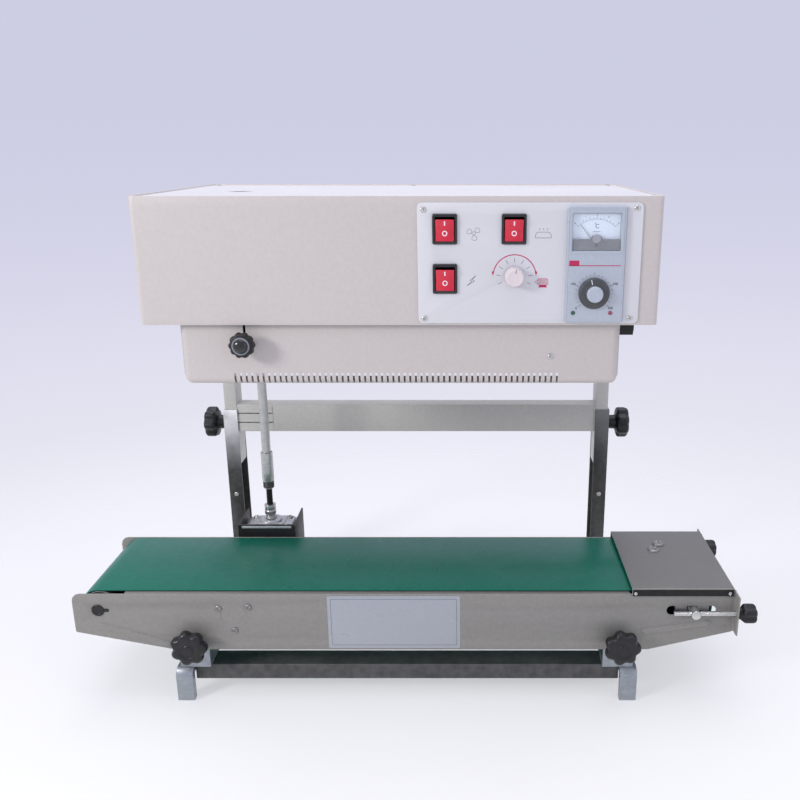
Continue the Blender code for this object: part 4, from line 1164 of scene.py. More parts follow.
    def build_tension_screws(self) -> None:
        """Thread the two tension screws, their black grips and the axle that they draw."""
        for row in ("front", "rear"):
            node = f"tension_knob_{row}"
            box = Box.of(node)
            y, z = box.y, 119.5
            place(threaded_rod(RIGHT, (0.0, y, z), box.left, 388.0, 3.0), f"tension_rod_{row}", BRIGHT_STEEL, node,
                  "steel")
            grip = StarKnob(11.5, 386.0, box.right, lobes=5, depth=0.20, neck=6.2, neck_length=4.6)
            place(grip.shape(RIGHT, (0.0, y, z)), f"tension_grip_{row}", BLACK_PLASTIC, node, "black_plastic",
                (node,))
        axle = Box.of("tension_axle")
        reach_low, reach_high = -axle.rear, -axle.front
        radius = 5.6
        ends = eased([(reach_low, 0.4), (reach_low + 0.6, radius), (reach_high - 0.6, radius), (reach_high, 0.4)],
            1.6, 5)
        centre = (axle.x, 0.0, axle.z)
        place(turned(FRONT, centre, ends, 40), "tension_axle_turned", BRIGHT_STEEL, "tension_axle", "steel",
              ("tension_axle",))

    def build_plate_details(self) -> None:
        """Add the pressed beads, bearing screws, bearing boss, black keyhole fills of painted shade and the blank
        label.
        """
        beads = Surface()
        screws = Surface()
        rings = Surface()
        keyhole_shade = Surface()
        wheels = self.wheels()
        for facing, y, side in ((FRONT, 0.0, 1.0), (REAR, 152.0, -1.0)):
            for start, end in (((-361.0, 100.5), (-277.0, 73.5)), ((277.0, 90.5), (357.0, 103.5))):
                beads.solid(self.bead(facing, y, side, start, end))
            for x, z in ((-218.4, 122.4), (-183.3, 123.8), (-200.8, 93.4)):
                Screw(3.9, 2.4).add(screws, facing, (x, y, z), 0.4 + x)
            boss = eased([(-0.4, 14.0), (-0.4, 15.6), (0.35, 15.4), (0.35, 14.2)], 0.3, 3, closed=True)
            centre = (wheels[1][0], y, wheels[1][1])
            rings.hoop(turned(facing, centre, boss, 56))
            # The keyhole slot is filled black over the axle end: painted shade standing for the dark slot.
            cup = [(-3.0, 0.5), (-3.0, 7.4), (0.5, 7.4), (1.0, 6.8), (1.0, 5.6), (0.4, 5.0), (0.4, 0.5)]
            centre = (wheels[0][0], y, wheels[0][1])
            keyhole_shade.solid(turned(facing, centre, cup, 40))
            tail = eased([(4.0 * side, -2.6), (13.0 * side, -1.8), (13.0 * side, 1.8),
                (4.0 * side, 2.6)][::int(side)], 1.5, 3, closed=True)
            keyhole_shade.solid(slab(facing, centre, tail, -0.4, 0.5, 0.3))
        # Beads and boss rings share the plates' paint in painted shade.
        place(beads, "side_plate_beads", SHADED_CONVEYOR_PAINT, "conveyor", "paint")
        place(rings, "bearing_boss_rings", SHADED_CONVEYOR_PAINT, "conveyor", "paint")
        place(screws, "bearing_screws", STEEL, "conveyor", "steel")
        place(keyhole_shade, "keyhole_painted_shade", BLACK_PLASTIC, "conveyor", "black_plastic")
        self.build_label()

    def bead(self, facing: Facing, y: float, side: float, start: Point, end: Point) -> Array:
        """Press one bead: an ellipse carried along a line, shrinking to a point at both ends.

        Args:
            facing: The way the plate looks.
            y: Place of its face.
            side: 1 on the front plate, -1 on the rear one, whose u runs the other way.
            start: X and Z of one end.
            end: X and Z of the other.

        Returns:
            A grid to close around, with caps.
        """
        first, last = np.array(start), np.array(end)
        length = float(np.linalg.norm(last - first))
        travel = (last - first) / length
        share = np.concatenate((np.linspace(0, 1, 8) ** 2 * 0.06, np.linspace(0.1, 0.9, 12),
            1 - np.linspace(1, 0, 8) ** 2 * 0.06))[:, None]
        end_gap = np.minimum(share, 1 - share) * length / (self.bead_width / 2)
        swell = np.sqrt(np.clip(1 - (1 - np.clip(end_gap, 0.0, 1.0)) ** 2, 0.003, 1.0))
        turn = np.arange(16)[None, :] * 2 * pi / 16
        across = self.bead_width / 2 * swell * np.cos(turn)
        u = first[0] + travel[0] * share * length - travel[1] * across
        v = first[1] + travel[1] * share * length + travel[0] * across
        w = self.bead_height * swell * np.sin(turn)
        return facing.space((0.0, y, 0.0), u * side, v, w)[:, :: 1 if side > 0 else -1]

    def build_label(self) -> None:
        """Stick a blank pale film with a thin printed border on the front plate."""
        low, high = self.label_low, self.label_high
        width, height = high[0] - low[0], high[1] - low[1]
        centre = ((low[0] + high[0]) / 2, 0.0, (low[1] + high[1]) / 2)
        film = slab(FRONT, centre, rounded_rectangle(width, height, 1.6), -0.05, 0.22, 0.08)
        place(film, "blank_label", LABEL_FILM, "conveyor", "grey_plastic")
        marks = Surface()
        rule = rounded_rectangle(width - 8.0, height - 8.0, 1.2)
        frame_line = stroke(FRONT, centre, rule, 0.5, 0.2, 0.26, closed=True)
        marks.hoop(frame_line)
        place(marks, "label_border", INK_GREY, "conveyor", "grey_plastic")


@dataclass
class BeltDrive:
    """The gearbox behind the belt, its bracket, and the two halves of the sliding drive shaft."""

    gearbox_top: float = 146.0

    def build(self) -> None:
        """Build the gearbox, its flange and both shafts."""
        place("gearbox_bracket", "gearbox_bracket_folded", BLACK_STEEL, "conveyor", "steel", edge=0.5)
        place("belt_gearbox", "belt_gearbox_cast", ALUMINIUM, "conveyor", "aluminium", edge=1.2)
        box = Box.of("drive_shaft_lower")
        centre = (box.x, box.y, 0.0)
        flange = Surface()
        outline = eased([(-30.0, -22.0), (30.0, -22.0), (30.0, 22.0), (-30.0, 22.0)], 9.0, 6, closed=True)
        flange.solid(slab(UP, (centre[0], centre[1], self.gearbox_top), outline, 0.1, 3.6, 0.8))
        hub = eased([(3.0, 20.0), (5.0, 18.5), (6.0, 15.0), (9.4, 14.2), (9.4, 8.0), (7.4, 7.6), (7.4, 6.6)], 0.8, 4)
        flange.solid(turned(UP, (centre[0], centre[1], self.gearbox_top), hub, 56))
        place(flange, "gearbox_flange", ALUMINIUM, "conveyor", "aluminium")
        screws = Surface()
        for u in (-22.5, 22.5):
            for v in (-14.5, 14.5):
                Screw(4.2, 3.2).add(screws, UP, (centre[0] + u, centre[1] + v, self.gearbox_top + 3.5), 0.5 + u)
        place(screws, "gearbox_screws", BRIGHT_STEEL, "conveyor", "steel")
        lip = Box.of("gearbox_bracket")
        strip = slab(FRONT, (lip.x, lip.front, 0.0), rounded_rectangle(66.0, 3.2,
            1.2) + np.array((0.0, lip.top - 3.4)), -0.1, 0.5, 0.3)
        place(strip, "bracket_bright_edge", ALUMINIUM, "conveyor", "steel")
        self.build_shafts(centre)

    def build_shafts(self, centre: Point) -> None:
        """Turn the lower rod with its coupling ring, and the tube that slides over it with its grooved sleeve.

        Args:
            centre: X and Y of the shaft's axis.
        """
        lower = Box.of("drive_shaft_lower")
        low, high = lower.bottom, lower.top
        rows = eased([(low, 0.6), (low, 6.2), (162.0, 6.2), (163.0, 7.6), (168.0, 7.6), (168.6, 7.1), (170.2, 7.1),
            (170.8, 7.6), (176.0, 7.6), (176.4, 4.4), (176.4, 0.6)], 0.35, 3)
        place(turned(UP, centre, rows, 40), "lower_shaft_turned", BRIGHT_STEEL, "drive_shaft_lower", "steel",
            ("drive_shaft_lower",))
        rod = eased([(175.0, 0.6), (175.0, 4.0), (high, 4.0), (high, 0.6)], 0.3, 3)
        place(turned(UP, centre, rod, 32), "lower_shaft_rod", BLACK_STEEL, "drive_shaft_lower", "steel")
        upper = Box.of("drive_shaft_upper")
        bottom, top = upper.bottom, upper.top
        grooves = []
        for z in (224.0, 228.0, 232.0, 236.0):
            grooves += [(z - 0.7, 7.8), (z - 0.4, 7.35), (z + 0.4, 7.35), (z + 0.7, 7.8)]
        rows = [(bottom, 4.4), (bottom, 6.6), (211.8, 7.2), (212.6, 7.8), *grooves, (250.4, 7.8), (251.0, 7.2),
            (251.0, 5.7), (479.8, 5.6), (479.8, 13.0), (485.2, 13.0), (485.2, 5.6), (top, 5.6), (top, 4.4)]
        place(Surface().hoop(turned(UP, centre, rows, 40)), "upper_shaft_turned", SHAFT_STEEL, "drive_shaft_upper",
            "steel", ("drive_shaft_upper",))
        ribs = [(bottom + 0.6, 6.3)]
        for z in np.arange(bottom + 1.6, 211.0, 1.6):
            ribs += [(z, 7.35), (z + 0.8, 7.0)]
        ribs += [(211.4, 6.3)]
        place(Surface().hoop(turned(UP, centre, ribs, 36)), "sleeve_ribbed_end", BLACK_STEEL, "drive_shaft_upper",
            "steel")


@dataclass
class LiftFrame:
    """The tubes and crossbar that carry the head, and the two knobs that clamp them."""

    knob_z: float = 257.0

    def build(self) -> None:
        """Soften the frame, add the bar's stiffening strip and turn the height knobs."""
        place("lift_frame", "lift_frame_welded", FRAME_PAINT, "head", "paint", edge=0.7)
        box = Box.of("lift_frame")
        bar_front, low, high = 275.4, 247.5, 287.5
        strip = Surface()
        section = [(0.0, high - 1.0), (-0.7, high - 2.0), (-0.7, 275.6), (0.0, 275.0), (0.0, 274.0), (-0.7, 273.4),
            (-0.7, 262.0), (0.0, 261.4), (0.0, 260.4), (-0.7, 259.8), (-0.7, low + 1.6), (0.0, low + 0.8)]
        outline = np.array([(bar_front + y, z) for y, z in section] + [(bar_front + 0.5, low + 0.8),
            (bar_front + 0.5, high - 1.0)])
        strip.solid(slab(RIGHT, (0.0, 0.0, 0.0), outline[:: -1] if area(outline) < 0 else outline, box.left + 17.4,
            -205.0, 0.05))
        place(strip, "crossbar_end_strip", FRAME_PAINT, "head", "paint", smooth=20.0)
        for side, facing, sign in (("left", LEFT, -1.0), ("right", RIGHT, 1.0)):
            node = f"height_knob_{side}"
            knob = Box.of(node)
            reach = abs(float(knob.left if sign < 0 else knob.right))
            centre = (0.0, knob.y, self.knob_z)
            grip = StarKnob(22.0, 275.5, reach, depth=0.15, neck_length=12.0)
            place(grip.shape(facing, centre), f"height_grip_{side}", BLACK_PLASTIC, node, "black_plastic", (node,))
            place(threaded_rod(facing, centre, 273.3, 277.0, 3.9), f"height_stud_{side}", BRIGHT_STEEL, node, "steel")


def area(outline: Array) -> float:
    """Signed area of a closed outline, positive when it runs anticlockwise."""
    after = np.roll(outline, -1, axis=0)
    return float(np.sum(outline[:, 0] * after[:, 1] - outline[:, 1] * after[:, 0]) / 2)


@dataclass
class HeadBox:
    """The wrapped housing, its recessed top cover with the fan under it, and the plate it stands on."""

    corner: float = 6.0
    sheet: float = 1.5
    fan: tuple[float, float] = (-191.5, 142.0)
    fan_hole: float = 16.0

    def build(self) -> None:
        """Build the box and its cover."""
        self.build_housing()
        self.build_top()
        self.build_grille()
        place("head_plate", "head_plate_flat", DARK_STEEL, "head", "steel", edge=0.4)
        place("fan_frame", "fan_frame_moulded", BLACK_PLASTIC, "head", "black_plastic", edge=0.6)
        place("fan_rotor", "fan_rotor_moulded", BLACK_PLASTIC, "fan_rotor", "black_plastic", edge=0.4)
        self.build_screws()

    def build_housing(self) -> None:
        """Wrap the sheet round the head: its rounded outline carried up the wall and over the folded rim."""
        box = Box.of("head_housing")
        low, high = box.bottom, box.top
        wall = self.sheet
        rim = 0.55
        rows = [(wall, low), (rim * 0.4, low), (0.0, low + rim)]
        heights = [463.5, 577.9]
        rows += [(0.0, z) for z in heights]
        rows += [(0.0, high - rim), (rim * 0.3, high - rim * 0.3), (rim, high), (wall - rim, high),
            (wall - rim * 0.3, high - rim * 0.3), (wall, high - rim), (wall, heights[1]), (wall, heights[0])]
        outlines = [rounded_rectangle(box.width - 2 * inset, box.depth - 2 * inset, self.corner - inset, 8) for inset,
            _ in rows]
        ring_points = np.stack(outlines)
        ring_points, keep = self.window(ring_points, [z for _, z in rows], box, heights)
        height = np.array([z for _, z in rows])[:, None]
        centre = (box.x, box.y, 0.0)
        grid = UP.space(centre, ring_points[..., 0], ring_points[..., 1], height)
        place(Surface().grid(grid, around=True, along=True, keep=keep), "housing_wrapped", PAINT, "head", "paint",
            ("head_housing",), smooth=50.0)

    def window(self, outlines: Array, heights: list[float], box: Box, rows: list[float]) -> tuple[Array, Array]:
        """Add the window's two upright lines to each outline, and choose the cells outside it.

        Args:
            outlines: Outlines by row, as u and v about the box's middle.
            heights: Height of each row.
            box: The housing's box.
            rows: Lower and upper height of the window.

        Returns:
            The wider outlines, and which cells to keep.
        """
        steps = outlines.shape[1] // 4
        left = np.repeat(np.array([[30.0 - box.x, 0.0]]), len(outlines), axis=0)
        right = np.repeat(np.array([[240.0 - box.x, 0.0]]), len(outlines), axis=0)
        left[:, 1] = right[:, 1] = outlines[:, 3 * steps, 1]
        wider = np.concatenate((outlines[:, : 3 * steps], left[:, None], right[:, None], outlines[:, 3 * steps:]), 1)
        wall = (np.array(heights) == rows[0]) & (np.roll(heights, -1) == rows[1])
        wall |= (np.array(heights) == rows[1]) & (np.roll(heights, -1) == rows[0])
        keep = np.ones(wider.shape[:2], bool)
        keep[np.where(wall)[0], 3 * steps] = False
        return wider, keep

    def build_top(self) -> None:
        """Lay the recessed cover: a ring of points round its edge joined to a ring round the fan hole."""
        box = Box.of("top_cover")
        low, high = box.bottom, box.top
        middle = (box.x, box.y)
        hole_at = np.array(self.fan) - middle
        edge = rounded_rectangle(box.width, box.depth, 4.2, 3)
        share = np.arange(20)[None, :, None] / 20
        fine = (edge[:, None] + (np.roll(edge, -1, axis=0) - edge)[:, None] * share).reshape(-1, 2)
        bearing = np.arctan2(*(fine - hole_at).T[::-1])
        hole = hole_at + self.fan_hole * np.stack((np.cos(bearing), np.sin(bearing)), axis=-1)
        rows = [(fine, low), (fine, high - 0.3), (fine + inward(fine) * 0.3, high), (hole - inward(hole) * 0.8,
            high), (hole, high - 0.6), (hole, low)]
        grid = np.stack([UP.space((*middle, 0.0), line[:, 0], line[:, 1], z) for line, z in rows])
        place(Surface().hoop(grid), "top_cover_sheet", COVER_PAINT, "head", "paint", ("top_cover",), smooth=30.0)

    def build_grille(self) -> None:
        """Set a wire finger guard of two rings and two bars in the fan hole."""
        wire = Surface()
        x, y = self.fan
        centre = (x, y, float(Box.of("top_cover").bottom))
        for radius in (5.5, 11.0):
            wire.hoop(stroke(UP, centre, ring(radius, 40), 0.9, -0.2, 0.7, closed=True))
        for u, v in ((1.0, 0.0), (0.0, 1.0)):
            line = np.array(((-u, -v), (u, v))) * (self.fan_hole + 0.6)
            wire.solid(stroke(UP, centre, line, 0.9, -0.2, 0.6))
        place(wire, "fan_finger_guard", BLACK_STEEL, "head", "steel")

    def build_screws(self) -> None:
        """Add the cover's screws and the ones that hold the housing to its plate."""
        screws = Surface()
        cover = Box.of("top_cover")
        for x in (-262.0, 0.0, 262.0):
            for y in (cover.front + 9.0, cover.rear - 9.0):
                Screw(2.8, 1.2).add(screws, UP, (x, y, cover.top), 0.3 + x)
        box = Box.of("head_housing")
        low = box.bottom + 7.5
        for y in (60.0, 250.0):
            Screw(3.0, 1.7).add(screws, LEFT, (box.left + 0.1, y, low), 0.2)
            Screw(3.0, 1.7).add(screws, RIGHT, (box.right - 0.1, y, low), 0.7)
        for x in (-230.0, 0.0, 230.0):
            Screw(3.0, 1.7).add(screws, REAR, (x, box.rear, low), 0.5)
        place(screws, "housing_screws", STEEL, "head", "steel")


@dataclass
class ControlPanel:
    """The screwed panel with its rockers, printed icons, speed scale and speed knob."""

    face: float = 1.2
    bezel_width: float = 25.6
    bezel_height: float = 31.0
    bezel_rise: float = 2.6
    rocker_tilt: float = radians(9.0)
    rocker_pivot: float = 3.0
    speed_at: tuple[float, float] = (121.4, 509.1)
    arc_radius: float = 22.3

    def build(self) -> None:
        """Build the panel and everything that sits on it."""
        place("control_panel", "panel_sheet", PANEL_FACE, "head", "aluminium", edge=0.3)
        screws = Surface()
        for x, z in ((27.3, 577.0), (27.3, 464.8), (245.2, 578.6), (243.5, 465.2)):
            Screw(3.1, 1.6).add(screws, FRONT, (x, self.face, z), 0.4 + x)
        place(screws, "panel_screws", BRIGHT_STEEL, "head", "steel")
        for word in ("cooler", "heater", "power"):
            self.build_rocker(word)
        self.build_icons()
        self.build_speed_scale()
        self.build_speed_knob()

    def flat(self, u: float, v: float) -> Point:
        """A point on the panel's face."""
        return (u, self.face, v)

    def build_rocker(self, word: str) -> None:
        """Build one rocker: its bezel, its moulded cap, and the printed bar and ring on it.

        Args:
            word: What the rocker switches.
        """
        node = f"rocker_{word}"
        box = Box.of(node)
        x = box.x
        z = {"cooler": 557.5, "heater": 557.5, "power": 506.6}[word]
        low = -0.05
        rise = self.bezel_rise
        rows = []
        for width, height, radius, w in ((self.bezel_width, self.bezel_height, 1.8, low),
                (self.bezel_width, self.bezel_height, 1.8, rise - 0.9), (self.bezel_width - 1.0,
                self.bezel_height - 1.0, 1.5, rise - 0.2), (self.bezel_width - 2.0, self.bezel_height - 2.0, 1.2,
                rise), (20.6, 24.8, 1.0, rise), (20.0, 24.2, 0.9, rise - 0.4), (19.8, 24.0, 0.8, low)):
            outline = rounded_rectangle(width, height, radius, 5)
            rows.append(FRONT.space(self.flat(x, z), outline[:, 0], outline[:, 1], w))
        place(Surface().hoop(np.stack(rows)), f"{word}_bezel", GLOSS_BLACK, "head", "black_plastic", smooth=50.0)
        place(node, f"{word}_rocker_cap", RED_PLASTIC, node, "red_plastic", edge=0.7)
        marks = Surface()
        bar = slab(FRONT, (0, 0, 0), rounded_rectangle(1.3, 4.8, 0.4) + np.array((0.0, 7.0)), -0.2, 0.16, 0.05)
        marks.solid(self.tilted(bar, x, z))
        loop = stroke(FRONT, (0, 0, 0), ring(2.2, 28, (0.0, -3.4)), 0.95, -0.2, 0.16, closed=True)
        marks.hoop(self.tilted(loop, x, z))
        place(marks, f"{word}_rocker_marks", INK_WHITE, node, "white_plastic")

    def tilted(self, points: Array, x: float, z: float) -> Array:
        """Lay points drawn flat onto a rocker: sink them along its shallow vee, then tilt them.

        Args:
            points: Points about the rocker's middle.
            x: The rocker's place along X.
            z: Its height.

        Returns:
            The points on its face.
        """
        v = points[..., 2]
        y = points[..., 1] - 1.6 - 2.4 * np.abs(v) / 11.5 - self.rocker_pivot
        turn = self.rocker_tilt
        return np.stack((points[..., 0] + x, self.rocker_pivot + y * cos(turn) - v * sin(turn),
            z + y * sin(turn) + v * cos(turn)), axis=-1)

    def draw(self, surface: Surface, line: Sequence[Sequence[float]], width: float, closed: bool = False) -> None:
        """Print a line on the panel.

        Args:
            surface: The print.
            line: Its points as X and Z.
            width: Width of the line.
            closed: Whether it joins its start.
        """
        bar = stroke(FRONT, self.flat(0.0, 0.0), np.asarray(line, float), width, -0.05, 0.09, closed)
        surface.grid(bar, around=True, along=closed, caps=not closed)

    def fill(self, surface: Surface, outline: Sequence[Sequence[float]]) -> None:
        """Print a filled outline on the panel."""
        shape = np.asarray(outline, float)
        shape = shape[::-1] if area(shape) < 0 else shape
        surface.solid(slab(FRONT, self.flat(0.0, 0.0), shape, -0.05, 0.09, 0.02, 1))

    def build_icons(self) -> None:
        """Print a three-bladed fan, a hot plate with three rising marks, and a bolt."""
        ink = Surface()
        turn = np.linspace(0, 2 * pi, 25)[:-1]
        hub = np.array((79.0, 553.2))
        self.draw(ink, ring(1.7, 20) + hub, 0.32, closed=True)
        for blade in range(3):
            aim = pi / 2 + blade * 2 * pi / 3 + pi / 3
            along = np.array((cos(aim), sin(aim)))
            across = np.array((-sin(aim), cos(aim)))
            reach = 4.6 + 2.5 * np.cos(turn)
            swing = 2.5 * np.sin(turn) * (1.0 + 0.35 * np.cos(turn))
            outline = hub + reach[:, None] * along + (swing + 0.7)[:, None] * across
            self.draw(ink, outline, 0.32, closed=True)
        plate = [(142.0, 548.6), (158.8, 548.6), (158.0, 552.4), (156.6, 554.4), (144.2, 554.4), (142.8, 552.4)]
        self.draw(ink, eased(plate, 0.8, 3, closed=True), 0.42, closed=True)
        for x in (146.4, 150.4, 154.4):
            self.draw(ink, [(x, 556.4), (x + 0.3, 557.4), (x, 558.4)], 0.42)
        bolt = [(72.0, 499.2), (77.2, 503.8), (75.2, 504.8), (81.4, 510.0), (77.6, 505.5), (80.0, 504.4)]
        self.draw(ink, eased(bolt, 0.15, 2, closed=True), 0.42, closed=True)
        place(ink, "panel_icons", INK_GREY, "head", "grey_plastic")

    def build_speed_scale(self) -> None:
        """Print the grey ticks, the crimson double-headed arc and the crimson geared motor beside the knob."""
        ticks = Surface()
        x, z = self.speed_at
        for step in range(9):
            turn = radians(205.0 - step * 28.75)
            aim = np.array((cos(turn), sin(turn)))
            self.draw(ticks, np.stack(((x, z) + aim * 14.4, (x, z) + aim * 19.0)), 0.42)
        place(ticks, "speed_ticks", INK_GREY, "head", "grey_plastic")
        crimson = Surface()
        turn = np.radians(np.linspace(168.0, 12.0, 61))
        self.draw(crimson, np.stack((x + self.arc_radius * np.cos(turn), z + self.arc_radius * np.sin(turn)), -1), 1.0)
        for side in (-1.0, 1.0):
            tip = (x + side * (self.arc_radius + 0.1), z + 0.4)
            self.fill(crimson, [tip, (tip[0] - 1.35, tip[1] + 4.6), (tip[0] + 1.35, tip[1] + 4.6)])
        motor = np.array((151.0, 503.4))
        self.draw(crimson, rounded_rectangle(10.4, 6.6, 1.6) + motor, 0.5, closed=True)
        for row in np.linspace(-2.2, 2.2, 5):
            self.draw(crimson, [motor + (-4.4, row), motor + (4.4, row)], 0.42)
        self.fill(crimson, [motor + (-3.4, -3.4), motor + (3.4, -3.4), motor + (4.6, -5.8), motor + (-4.6, -5.8)])
        self.draw(crimson, [motor + (-5.4, 2.2), motor + (-8.4, 0.0), motor + (-5.4, -2.2)], 0.42)
        place(crimson, "speed_arc_and_motor_icon", INK_CRIMSON, "head", "red_plastic")

    def build_speed_knob(self) -> None:
        """Turn the cream knob, with finely ribbed sides and a pointer line, and the collar behind it."""
        x, z = self.speed_at
        centre = (x, 0.0, z)
        rows = [(-0.2, 3.0, 0), (-0.2, 10.2, 0), (1.6, 10.4, 0), (2.4, 10.0, 1), (11.4, 9.3, 1), (13.0, 8.6, 0),
            (13.0, 6.4, 0), (12.7, 5.9, 0), (12.7, 0.5, 0)]
        turn = np.arange(240)[None, :] * 2 * pi / 240
        profile = eased(rows, 0.5, 3)
        ripple = 1 - 0.022 * profile[:, 2][:, None] * (0.5 - 0.5 * np.cos(40 * turn))
        radius = profile[:, 1][:, None] * ripple
        grid = FRONT.space(centre, radius * np.cos(turn), radius * np.sin(turn), profile[:, 0][:, None])
        place(grid, "speed_knob_moulded", CREAM_PLASTIC, "speed_knob", "white_plastic", ("speed_knob",))
        pointer = Surface()
        line = stroke(FRONT, centre, np.array(((0.7, 5.0), (1.2, 8.4))), 0.7, 12.4, 13.05)
        pointer.solid(line)
        place(pointer, "speed_knob_pointer", INK_GREY, "speed_knob", "white_plastic")
        place(turned(FRONT, centre, np.array([(-7.6, 0.5), (-7.6, 3.2), (0.0, 3.2), (0.0, 0.5)]), 24),
            "speed_knob_stem", STEEL, "speed_knob", "white_plastic")


@dataclass
class Controller:
    """Temperature controller: moulded case, meter with needle and window, setting dial and two lamps."""

    back: float = 0.9
    face: float = -3.1
    meter: tuple[float, float] = (205.0, 554.5)
    meter_size: tuple[float, float] = (50.0, 38.0)
    dial_at: tuple[float, float] = (204.0, 492.2)
    dial_radius: float = 16.3

    def build(self) -> None:
        """Build the case, the meter and the dial."""
        self.build_case()
        self.build_meter()
        self.build_scale()
        self.build_dial()
        self.build_lamps()

    def build_case(self) -> None:
        """Loft one skin: up the sides of the case, over its front and down into the meter pocket."""
        box = Box.of("temperature_controller")
        x, z = box.x, box.z
        wide, tall = box.width, box.height
        deep = -box.rear
        pocket_u, pocket_v = self.meter[0] - x, self.meter[1] - z
        pocket_w, pocket_h = self.meter_size
        front = -self.face
        plan = [(wide - 8.0, tall - 12.0, 1.0, 0.0, 0.0, deep), (wide - 8.0, tall - 12.0, 1.0, 0.0, 0.0, -self.back),
            (wide, tall, 2.4, 0.0, 0.0, -self.back), (wide, tall, 2.4, 0.0, 0.0, front - 1.1),
            (wide - 0.6, tall - 0.6, 2.2, 0.0, 0.0, front - 0.35), (wide - 2.0, tall - 2.0, 1.6, 0.0, 0.0, front),
            (pocket_w + 1.4, pocket_h + 1.4, 2.0, pocket_u, pocket_v, front), (pocket_w, pocket_h, 1.4, pocket_u,
            pocket_v, front - 0.7), (pocket_w - 0.6, pocket_h - 0.6, 1.0, pocket_u, pocket_v, front - 6.6)]
        rows = []
        for width, height, radius, u, v, w in plan:
            outline = rounded_rectangle(width, height, radius, 6) + np.array((u, v))
            rows.append(FRONT.space((x, 0.0, z), outline[:, 0], outline[:, 1], w))
        place(np.stack(rows), "controller_case", INSTRUMENT_PLASTIC, "head", "grey_plastic",
            ("temperature_controller",), smooth=30.0)
        rim = Surface()
        for inset, low, high in ((1.1, front - 0.3, front + 0.25),):
            outline = rounded_rectangle(wide - 2 * inset, tall - 2 * inset, 1.8, 6)
            loop = stroke(FRONT, (x, 0.0, z), outline, 0.9, low, high, closed=True)
            rim.hoop(loop)
        outline = rounded_rectangle(pocket_w + 3.4, pocket_h + 3.4, 2.4, 6) + np.array((pocket_u, pocket_v))
        loop = stroke(FRONT, (x, 0.0, z), outline, 1.9, front - 0.3, front + 0.55, closed=True)
        rim.hoop(loop)
        place(rim, "controller_rims", INSTRUMENT_PLASTIC, "head", "grey_plastic", edge=0.25)
        strip = slab(RIGHT, (box.right + 0.05, 0.0, 0.0),
            eased([(self.face + 0.9, z - tall / 2 + 1.2), (self.back + 1.0, z - tall / 2 + 1.2),
            (self.back + 1.0, z + tall / 2 - 1.2), (self.face + 0.9, z + tall / 2 - 1.2)], 0.6, 2, closed=True),
            -0.2, 0.15, 0.08)
        place(strip, "controller_side_strip", SHADED_PLASTIC, "head", "grey_plastic")

    def build_meter(self) -> None:
        """Build the scale card, its printed arc, the lower mask with its half-round hub, the needle and window."""
        x, z = self.meter
        wide, tall = self.meter_size
        floor = -self.face - 6.4
        card = slab(FRONT, (x, 0.0, z), rounded_rectangle(wide - 1.2, tall - 1.2, 1.0), floor - 0.6, floor + 0.5, 0.1)
        place(card, "meter_card", METER_FACE, "head", "white_plastic")
        pivot = (x, 0.0, z - 14.0)
        ink = Surface()
        top = floor + 0.6
        turn = np.radians(np.linspace(134.0, 46.0, 45))
        arc = np.stack((27.0 * np.cos(turn), 27.0 * np.sin(turn)), -1)
        ink.solid(stroke(FRONT, pivot, arc, 0.25, floor + 0.4, top))
        for step in range(13):
            angle = radians(134.0 - step * 88.0 / 12)
            aim = np.array((cos(angle), sin(angle)))
            reach = 30.0 if step % 2 == 0 else 28.6
            line = np.stack((aim * 27.0, aim * reach))
            ink.solid(stroke(FRONT, pivot, line, 0.28, floor + 0.4, top))
        for step, text in enumerate(("0", "1", "2", "3", "4")):
            angle = radians(134.0 - step * 22.0)
            spot = (pivot[0] + 32.0 * cos(angle), -top, pivot[2] + 32.0 * sin(angle) * 0.985)
            numeral(ink, FRONT, spot, text, 2.8, 0.05)
        degree = stroke(FRONT, (x, 0.0, z), ring(0.6, 12, (-1.3, 8.2)), 0.3, floor + 0.4, top, closed=True)
        ink.hoop(degree)
        numeral(ink, FRONT, (x + 0.6, -top, z + 5.6), "C", 6.0, 0.05)
        ink.solid(stroke(FRONT, (x, 0.0, z), np.array(((-4.0, 0.4), (4.0, 0.4))), 0.35, floor + 0.4, top))
        place(ink, "meter_scale", INK_DARK, "head", "grey_plastic")
        self.build_mask(x, z, wide, tall, floor)
        needle = Surface()
        rest = radians(128.0)
        aim = np.array((cos(rest), sin(rest)))
        blade = np.stack((aim * -2.0, aim * 6.0, aim * 26.5))
        needle.solid(stroke(FRONT, (pivot[0], 0.0, pivot[2]), blade, 0.5, -1.3, -0.8))
        place(needle, "needle_blade", INK_DARK, "meter_needle", "black_plastic", ("meter_needle",))
        pane = slab(FRONT, (x, 0.0, z), rounded_rectangle(wide - 0.4, tall - 0.4, 1.2), -self.face - 1.5,
            -self.face - 0.5, 0.2)
        place(pane, "meter_window", WINDOW, "head", "white_plastic")

